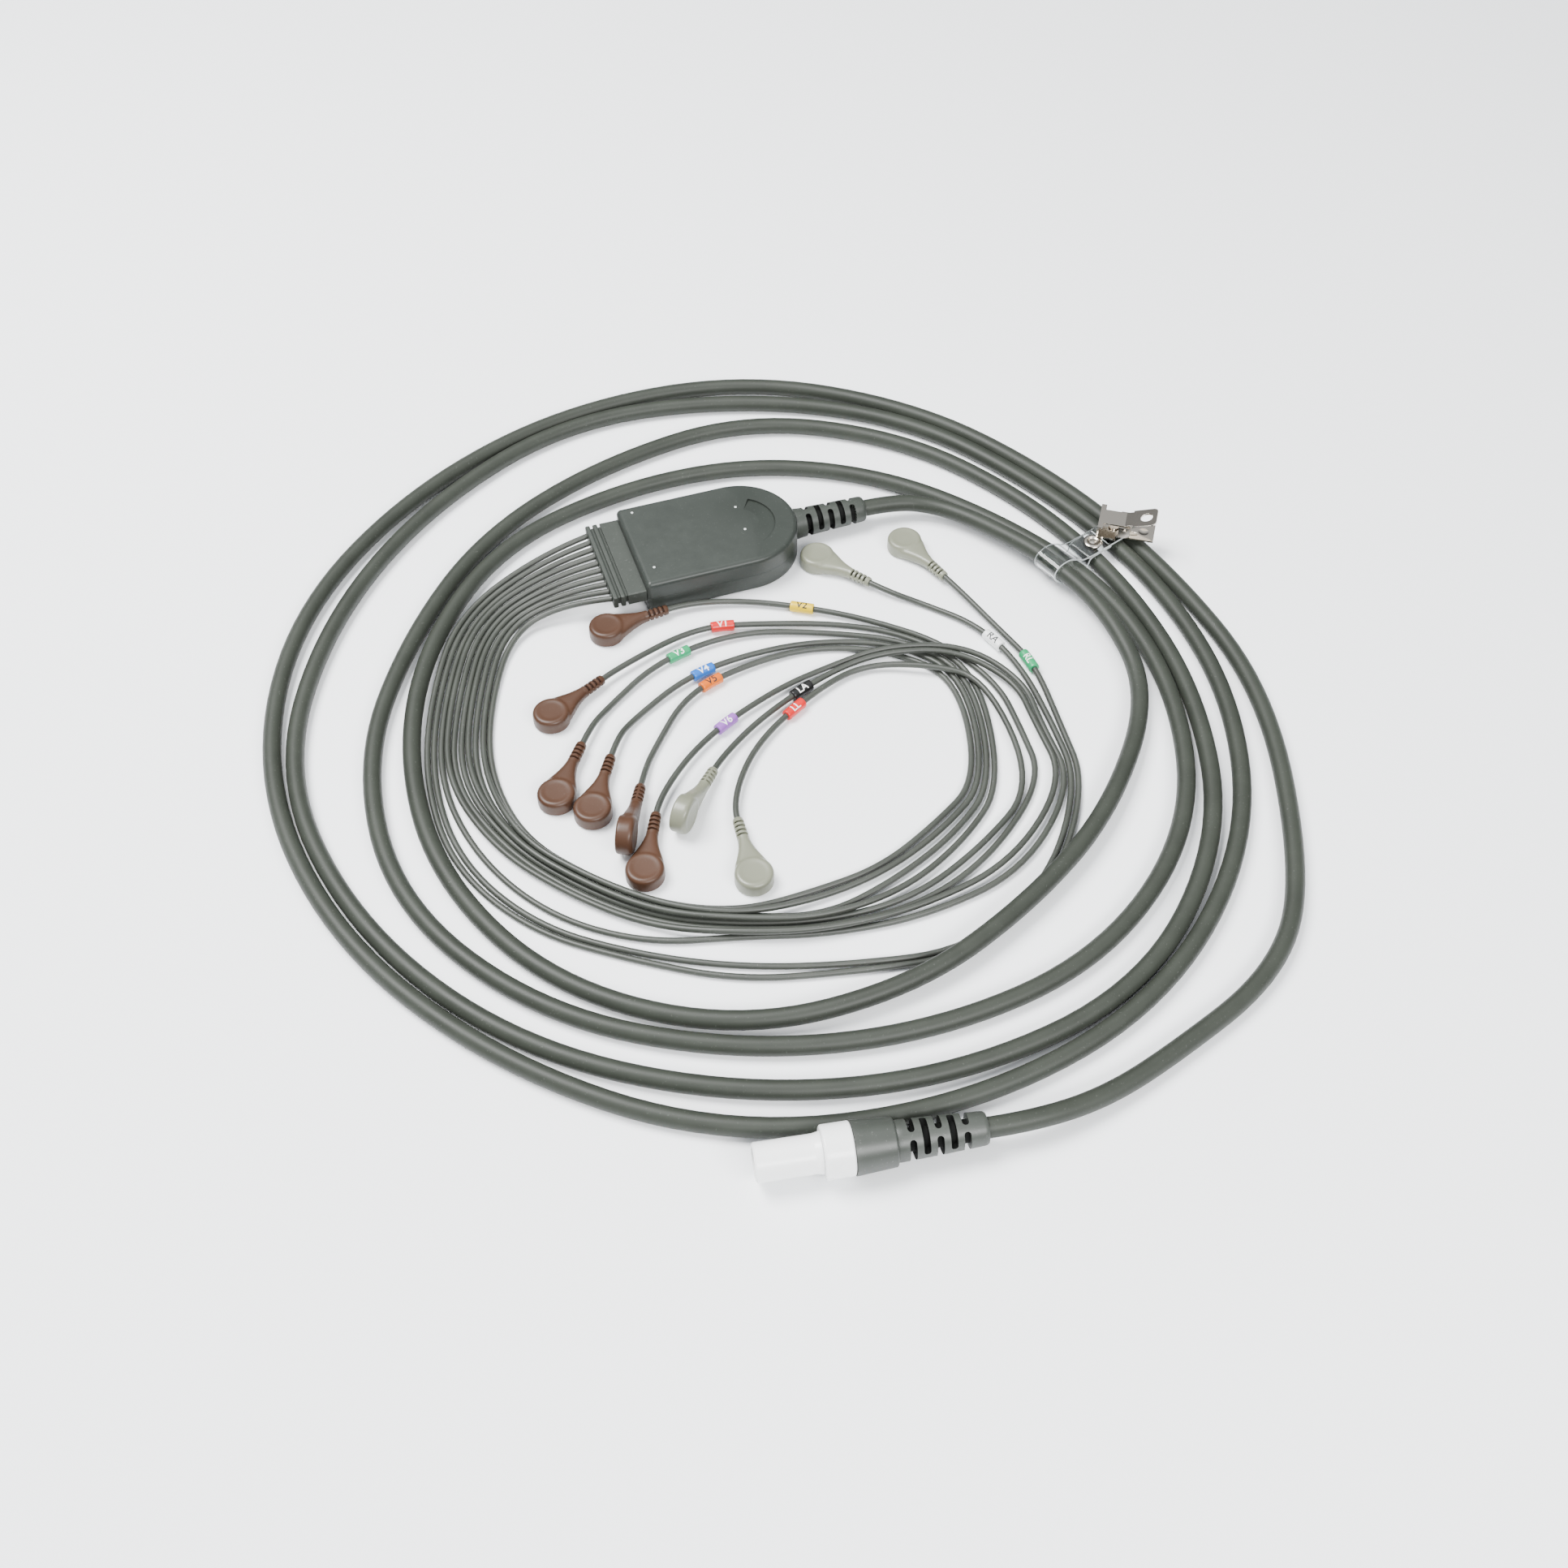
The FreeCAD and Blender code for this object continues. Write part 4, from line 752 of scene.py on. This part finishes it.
# ---- Leads and marker sleeves --------------------------------------------------------------
# Ten 2.4 mm lead wires leave the comb side by side, run once round inside the coil and turn back
# to their snaps. Each carries a printed sleeve in the colour code of its electrode.
LEADS = {
    "v5": ("orange", 64.4, True, (-0.069, -0.1385, 0.0073), [
        (-0.0425, -0.0198, 0.009), (-0.062, -0.0145, 0.0073), (-0.085, -0.019, 0.002),
        (-0.1025, -0.057, 0.0013), (-0.1095, -0.09, 0.0013), (-0.1045, -0.1235, 0.0013),
        (-0.0855, -0.149, 0.0013), (-0.065, -0.168, 0.0013), (-0.0395, -0.18, 0.0013),
        (-0.012, -0.18, 0.0013), (0.0145, -0.1775, 0.0013), (0.04, -0.1655, 0.0013),
        (0.064, -0.1505, 0.0013), (0.0765, -0.1, 0.0013), (0.0585, -0.078, 0.0013),
        (0.03, -0.065, 0.0013), (0.0015, -0.066, 0.0022), (-0.0275, -0.074, 0.0026),
        (-0.0475, -0.097, 0.0013), (-0.0536, -0.1063, 0.0024), (-0.0577, -0.1148, 0.0037)]),
    "v4": ("blue", 60.2, False, (-0.0775, -0.12, 0.0036), [
        (-0.0425, -0.0154, 0.009), (-0.0625, -0.011, 0.0073), (-0.0875, -0.017, 0.0025),
        (-0.1045, -0.0555, 0.0018), (-0.112, -0.089, 0.0019), (-0.106, -0.1255, 0.0044),
        (-0.0865, -0.1505, 0.0044), (-0.065, -0.1705, 0.0043), (-0.04, -0.183, 0.0043),
        (-0.0115, -0.184, 0.0019), (0.016, -0.18, 0.0018), (0.043, -0.1685, 0.0017),
        (0.0665, -0.152, 0.0017), (0.0795, -0.0995, 0.0016), (0.062, -0.075, 0.0015),
        (0.032, -0.0625, 0.0015), (0.003, -0.061, 0.0023), (-0.025, -0.0655, 0.0027),
        (-0.0515, -0.08, 0.0013), (-0.0596, -0.0888, 0.0036), (-0.0643, -0.097, 0.0036)]),
    "v3": ("green", 54.6, False, (-0.0885, -0.109, 0.0036), [
        (-0.0425, -0.011, 0.009), (-0.0625, -0.008, 0.0073), (-0.09, -0.015, 0.0019),
        (-0.107, -0.054, 0.0013), (-0.1155, -0.0895, 0.0013), (-0.1075, -0.1245, 0.0013),
        (-0.088, -0.1505, 0.0013), (-0.0665, -0.171, 0.0013), (-0.04, -0.182, 0.0013),
        (-0.012, -0.1915, 0.0013), (0.0175, -0.1845, 0.0013), (0.0455, -0.172, 0.0013),
        (0.069, -0.1535, 0.0013), (0.0825, -0.099, 0.0013), (0.065, -0.0735, 0.0013),
        (0.0365, -0.059, 0.0013), (0.002, -0.0475, 0.0022), (-0.0335, -0.0535, 0.0026),
        (-0.06, -0.0715, 0.0013), (-0.0676, -0.0797, 0.0036), (-0.0731, -0.0874, 0.0036)]),
    "v1": ("red", 27.2, False, (-0.0805, -0.069, 0.0036), [
        (-0.0425, -0.0066, 0.009), (-0.063, -0.0045, 0.0073), (-0.092, -0.0135, 0.0025),
        (-0.1095, -0.053, 0.0021), (-0.118, -0.0885, 0.0022), (-0.1085, -0.1265, 0.0046),
        (-0.089, -0.1525, 0.0046), (-0.0675, -0.173, 0.0046), (-0.041, -0.185, 0.0046),
        (-0.013, -0.194, 0.0046), (0.0195, -0.19, 0.0021), (0.0485, -0.1755, 0.0018),
        (0.0715, -0.1555, 0.0015), (0.0855, -0.0985, 0.0013), (0.0685, -0.0725, 0.0013),
        (0.0445, -0.0565, 0.0013), (0.0125, -0.0465, 0.0024), (-0.0135, -0.04, 0.0024),
        (-0.0485, -0.0525, 0.0036), (-0.0569, -0.0569, 0.0036)]),
    "ll": ("red", 85.2, False, (-0.0305, -0.168, 0.0036), [
        (-0.0425, -0.0022, 0.009), (-0.063, -0.001, 0.0073), (-0.094, -0.0115, 0.0019),
        (-0.1115, -0.0515, 0.0013), (-0.121, -0.0885, 0.0013), (-0.11, -0.125, 0.0013),
        (-0.0905, -0.152, 0.0013), (-0.068, -0.173, 0.0013), (-0.0415, -0.185, 0.0013),
        (-0.0125, -0.1935, 0.0013), (0.02, -0.1945, 0.0015), (0.0525, -0.181, 0.0017),
        (0.083, -0.16, 0.0019), (0.086, -0.1055, 0.0039), (0.068, -0.092, 0.0046),
        (0.0435, -0.081, 0.002), (0.0205, -0.089, 0.0027), (-0.0095, -0.1065, 0.0022),
        (-0.0275, -0.1321, 0.0036), (-0.0283, -0.1416, 0.0036)]),
    "v2": ("yellow", 6.2, False, (-0.048, -0.0305, 0.0036), [
        (-0.0425, 0.0022, 0.009), (-0.0635, 0.0025, 0.0073), (-0.096, -0.0095, 0.0019),
        (-0.114, -0.05, 0.0013), (-0.124, -0.088, 0.0013), (-0.1125, -0.1255, 0.0013),
        (-0.093, -0.1535, 0.0013), (-0.07, -0.175, 0.0013), (-0.042, -0.188, 0.0013),
        (-0.012, -0.1965, 0.0013), (0.0225, -0.198, 0.0013), (0.0555, -0.185, 0.0013),
        (0.087, -0.158, 0.0013), (0.0895, -0.1315, 0.0013), (0.0905, -0.107, 0.0013),
        (0.078, -0.079, 0.0013), (0.0565, -0.06, 0.0022), (0.037, -0.0465, 0.0026),
        (0.012, -0.032, 0.002), (-0.0122, -0.0266, 0.0036), (-0.0217, -0.0276, 0.0036)]),
    "la": ("black", 49.7, True, (-0.0465, -0.136, 0.0073), [
        (-0.0425, 0.0066, 0.009), (-0.064, 0.006, 0.0073), (-0.0975, -0.0075, 0.0028),
        (-0.1165, -0.0495, 0.0026), (-0.126, -0.0875, 0.0026), (-0.1155, -0.126, 0.0026),
        (-0.095, -0.1545, 0.0026), (-0.0715, -0.177, 0.0026), (-0.043, -0.191, 0.005),
        (-0.0135, -0.1995, 0.005), (0.022, -0.1995, 0.0026), (0.0605, -0.1915, 0.0025),
        (0.0945, -0.1615, 0.0024), (0.095, -0.1325, 0.0035), (0.097, -0.1095, 0.0028),
        (0.08, -0.0875, 0.005), (0.0535, -0.0795, 0.0047), (0.0305, -0.081, 0.0031),
        (-0.0015, -0.094, 0.0025), (-0.0234, -0.1088, 0.0024), (-0.0295, -0.116, 0.0037)]),
    "v6": ("purple", 65.2, False, (-0.067, -0.1535, 0.0036), [
        (-0.0425, 0.011, 0.009), (-0.064, 0.0095, 0.0073), (-0.0995, -0.006, 0.0018),
        (-0.1185, -0.0475, 0.0013), (-0.1285, -0.087, 0.0013), (-0.1225, -0.127, 0.0013),
        (-0.104, -0.1605, 0.0013), (-0.075, -0.1825, 0.0014), (-0.0425, -0.1905, 0.0014),
        (-0.0125, -0.1995, 0.0014), (0.023, -0.203, 0.0015), (0.0635, -0.1955, 0.0015),
        (0.097, -0.1635, 0.0015), (0.0975, -0.1335, 0.002), (0.1005, -0.11, 0.002),
        (0.0855, -0.086, 0.0041), (0.0555, -0.0765, 0.0045), (0.0315, -0.0775, 0.002),
        (0.006, -0.083, 0.0024), (-0.028, -0.0985, 0.0027), (-0.0519, -0.1208, 0.0036),
        (-0.0559, -0.1294, 0.0036)]),
    "ra": ("white", -54.1, False, (0.0465, -0.018, 0.0036), [
        (-0.0425, 0.0154, 0.009), (-0.0645, 0.013, 0.0073), (-0.1015, -0.004, 0.002),
        (-0.121, -0.046, 0.0013), (-0.131, -0.086, 0.0013), (-0.129, -0.127, 0.0013),
        (-0.1095, -0.163, 0.0013), (-0.079, -0.186, 0.0013), (-0.047, -0.2025, 0.0013),
        (-0.0115, -0.2135, 0.0013), (0.031, -0.2215, 0.0014), (0.071, -0.2015, 0.0014),
        (0.099, -0.163, 0.0014), (0.1015, -0.135, 0.0021), (0.1025, -0.103, 0.0025),
        (0.0955, -0.076, 0.0025), (0.0785, -0.0555, 0.0013), (0.0676, -0.0472, 0.0036),
        (0.062, -0.0395, 0.0036)]),
    "rl": ("green", -72.3, False, (0.0845, -0.021, 0.0036), [
        (-0.0425, 0.0198, 0.009), (-0.0645, 0.0165, 0.0073), (-0.1035, -0.002, 0.002),
        (-0.1235, -0.045, 0.0013), (-0.1335, -0.0855, 0.0013), (-0.132, -0.128, 0.0013),
        (-0.112, -0.1645, 0.0013), (-0.081, -0.188, 0.0013), (-0.049, -0.2075, 0.0013),
        (-0.012, -0.2165, 0.0013), (0.032, -0.224, 0.0013), (0.073, -0.2035, 0.0013),
        (0.1015, -0.1645, 0.0013), (0.1045, -0.136, 0.0019), (0.108, -0.103, 0.0026),
        (0.1025, -0.0805, 0.0022), (0.0954, -0.0553, 0.0036), (0.0926, -0.0462, 0.0036)]),
}
lead_pvc = moulded("lead_pvc", (0.036, 0.04, 0.033), 0.42, grain_scale=2200.0, lift=0.22,
                   dust=0.06, bump=0.15, specular=0.45, wear=0.0)
SLEEVES = {
    "red": (0.55, 0.012, 0.012), "yellow": (0.66, 0.45, 0.0), "green": (0.008, 0.27, 0.1),
    "blue": (0.006, 0.12, 0.48), "orange": (0.6, 0.12, 0.0), "purple": (0.27, 0.09, 0.42),
    "white": (0.8, 0.81, 0.8), "black": (0.009, 0.009, 0.009)}
sleeve_mats = {colour: moulded("sleeve_" + colour, rgb, 0.3, grain_scale=1500.0, lift=0.05,
                               dust=0.0, bump=0.06, coat=0.08, specular=0.35, wear=0.0)
               for colour, rgb in SLEEVES.items()}
ink_dark = moulded("ink_dark", (0.008, 0.008, 0.01), 0.5, dust=0.0, wear=0.0)
ink_pale = moulded("ink_pale", (0.8, 0.8, 0.78), 0.45, dust=0.0, wear=0.0)
CHEST = ("v1", "v2", "v3", "v4", "v5", "v6")
DARK_INK_ON = ("yellow", "orange", "white")
SLEEVE_R = 0.0022
SLEEVE_HALF = 0.0048
SLEEVE_BORE = 0.00126
SLEEVE_SIDES = 32
LETTER = 0.0042
LETTER_LEAN = math.radians(-18)
INK_PROUD = 0.00002


class Route:
    """A lead's centre line, with a level frame at any distance along it."""

    def __init__(self, points):
        self.points = points
        self.run = [0.0]
        for a, b in zip(points, points[1:]):
            self.run.append(self.run[-1] + (b - a).length)

    def nearest(self, place):
        """Distance along the lead to its point nearest this place."""
        best = min(range(len(self.points)), key=lambda i: (self.points[i] - place).length)
        return self.run[best]

    def frame(self, s):
        """Place, direction, level side and upward side at this distance."""
        last = len(self.points) - 1
        i = max(k for k in range(last) if self.run[k] <= s or k == 0)
        a, b = self.points[i], self.points[i + 1]
        share = (s - self.run[i]) / max(1e-9, self.run[i + 1] - self.run[i])
        before = a - self.points[i - 1] if i else b - a
        after = self.points[i + 2] - b if i + 2 <= last else b - a
        start = (before.normalized() + (b - a).normalized()).normalized()
        end = (after.normalized() + (b - a).normalized()).normalized()
        go = start.lerp(end, share).normalized()
        side = Vector((-go.y, go.x, 0)).normalized()
        return a.lerp(b, share), go, side, go.cross(side)


def sleeve_tube(route, middle, name):
    """A short tube with eased ends that follows the lead."""
    bm = bmesh.new()
    outline = [(-1, SLEEVE_BORE), (-1, SLEEVE_R - 0.0003), (-0.98, SLEEVE_R - 0.0001),
               (-0.94, SLEEVE_R)]
    outline += [(-0.8 + 0.2 * k, SLEEVE_R) for k in range(9)]
    outline += [(0.94, SLEEVE_R), (0.98, SLEEVE_R - 0.0001), (1, SLEEVE_R - 0.0003),
                (1, SLEEVE_BORE)]
    outline += [(0.8 - 0.2 * k, SLEEVE_BORE) for k in range(9)]
    rings = []
    for share, r in outline:
        centre, go, side, up = route.frame(middle + share * SLEEVE_HALF)
        angles = [2 * math.pi * k / SLEEVE_SIDES for k in range(SLEEVE_SIDES)]
        rings.append([bm.verts.new(centre + (side * math.cos(a) + up * math.sin(a)) * r)
                      for a in angles])
    for a, b in zip(rings, rings[1:] + rings[:1]):
        for k in range(SLEEVE_SIDES):
            j = (k + 1) % SLEEVE_SIDES
            bm.faces.new((a[k], a[j], b[j], b[k]))
    mesh = mesh_from(bm, name)
    sharpen(mesh, 50)
    return mesh


def printed(route, middle, code, name):
    """A lead code printed on the upper side of a sleeve."""
    font = bpy.data.curves.new(name, "FONT")
    font.body = code
    font.align_x = "CENTER"
    font.align_y = "CENTER"
    font.size = LETTER
    font.offset = 0.00006
    obj = new_object(name, font)
    mesh = evaluated(obj)
    bpy.data.objects.remove(obj)
    bm = bmesh.new()
    bm.from_mesh(mesh)
    bmesh.ops.triangulate(bm, faces=bm.faces)
    for _ in range(3):
        long_edges = [e for e in bm.edges if e.calc_length() > 0.00035]
        bmesh.ops.subdivide_edges(bm, edges=long_edges, cuts=1)
        bmesh.ops.triangulate(bm, faces=bm.faces)
    _, go, _, _ = route.frame(middle)
    along = 1 if go.x > 0 else -1
    for v in bm.verts:
        centre, go, side, up = route.frame(middle + along * v.co.x)
        turn = LETTER_LEAN * along + along * v.co.y / SLEEVE_R
        v.co = centre + (side * math.sin(turn) + up * math.cos(turn)) * (SLEEVE_R + INK_PROUD)
    return mesh_from(bm, name)


for name, (colour, heading, on_edge, head_at, points) in LEADS.items():
    curve = bpy.data.curves.new("wire_" + name, "CURVE")
    curve.dimensions = "3D"
    curve.bevel_depth = 0.0012
    curve.bevel_resolution = 5
    curve.resolution_u = 8
    lay(curve, points)
    curve.materials.append(lead_pvc)
    wire = new_object("wire_" + name, curve)
    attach(wire, "harness")
    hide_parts("lead_" + name)

    body = snap_mesh.copy()
    body.name = "press_snap_" + name
    stand = Matrix.Translation((0, 0, -AXIS * MM))
    if on_edge:
        stand = Matrix.Rotation(math.radians(7.8), 4, "Y") @ Matrix.Rotation(
            math.radians(90), 4, "X") @ stand
    body.transform(Matrix.Translation(head_at) @ Matrix.Rotation(
        math.radians(heading), 4, "Z") @ stand)
    snap = new_object("press_snap_" + name, body)
    body.materials.append(snap_brown if name in CHEST else snap_grey)
    body.materials.append(groove_painted_shade_brown if name in CHEST else groove_painted_shade_grey)
    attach(snap, "harness")
    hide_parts("snap_" + name)

    s_low, s_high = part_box("sleeve_" + name)
    route = Route(centre_line(curve))
    middle = route.nearest((s_low + s_high) / 2)
    sleeve = piece("marker_" + name, sleeve_tube(route, middle, "marker_" + name),
                   sleeve_mats[colour], "harness")
    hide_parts("sleeve_" + name)
    dark_ink = colour in DARK_INK_ON
    label = piece("code_" + name, printed(route, middle, name.upper(), "code_" + name),
                  ink_dark if dark_ink else ink_pale, "harness")

# ---- Table, light and camera ------------------------------------------------------------------
# A plain pale table under soft studio light: one large lamp at the left and behind, one long
# box in front, and a sky that is bright overhead and dim at the horizon.
floor_bm = bmesh.new()
bmesh.ops.create_grid(floor_bm, x_segments=1, y_segments=1, size=6.0)
floor_mesh = mesh_from(floor_bm, "table")
table = new_object("table", floor_mesh)
table.location = (0, 0, low_corner[2] - 0.0002)
pale = bpy.data.materials.new("pale_table")
pale.use_nodes = True
pale_skin = pale.node_tree.nodes["Principled BSDF"]
pale_skin.inputs["Base Color"].default_value = (0.95, 0.965, 0.98, 1)
pale_skin.inputs["Roughness"].default_value = 0.85
floor_mesh.materials.append(pale)

world = bpy.data.worlds.new("studio")
bpy.context.scene.world = world
world.use_nodes = True
sky = world.node_tree
toward_sky = sky.nodes.new("ShaderNodeTexCoord")
height = sky.nodes.new("ShaderNodeSeparateXYZ")
glow = add(sky, "ShaderNodeMapRange", From_Min=0.42, From_Max=0.95, To_Min=0.14, To_Max=1.5)
join(sky,
     (toward_sky.outputs["Generated"], height.inputs[0]),
     (height.outputs["Z"], glow.inputs["Value"]),
     (glow.outputs["Result"], sky.nodes["Background"].inputs["Strength"]))
sky.nodes["Background"].inputs["Color"].default_value = (0.94, 0.97, 1.0, 1)


def softbox(name, at, aim, size, power):
    """A rectangular lamp that faces a point."""
    data = bpy.data.lights.new(name, "AREA")
    data.shape = "RECTANGLE"
    data.size = size[0]
    data.size_y = size[1]
    data.energy = power
    lamp = new_object(name, data)
    lamp.location = at
    lamp.rotation_euler = (Vector(aim) - Vector(at)).to_track_quat("-Z", "Y").to_euler()


softbox("key_left", (-0.55, 0.3, 1.35), (0, -0.1, 0), (0.8, 0.8), 60.0)
softbox("front_box", (0.2, -1.25, 0.95), (0, -0.1, 0), (1.0, 0.42), 34.0)

camera_data = bpy.data.cameras.new("camera")
camera_data.sensor_width = 36.0
camera_data.lens = 40.49
camera_data.clip_start = 0.01
camera = new_object("camera", camera_data)
camera.location = (-0.1432, -0.53206, 0.50865)
aim = Vector((-0.00565, -0.12805, 0.0))
camera.rotation_euler = (aim - camera.location).to_track_quat("-Z", "Y").to_euler()
bpy.context.scene.camera = camera
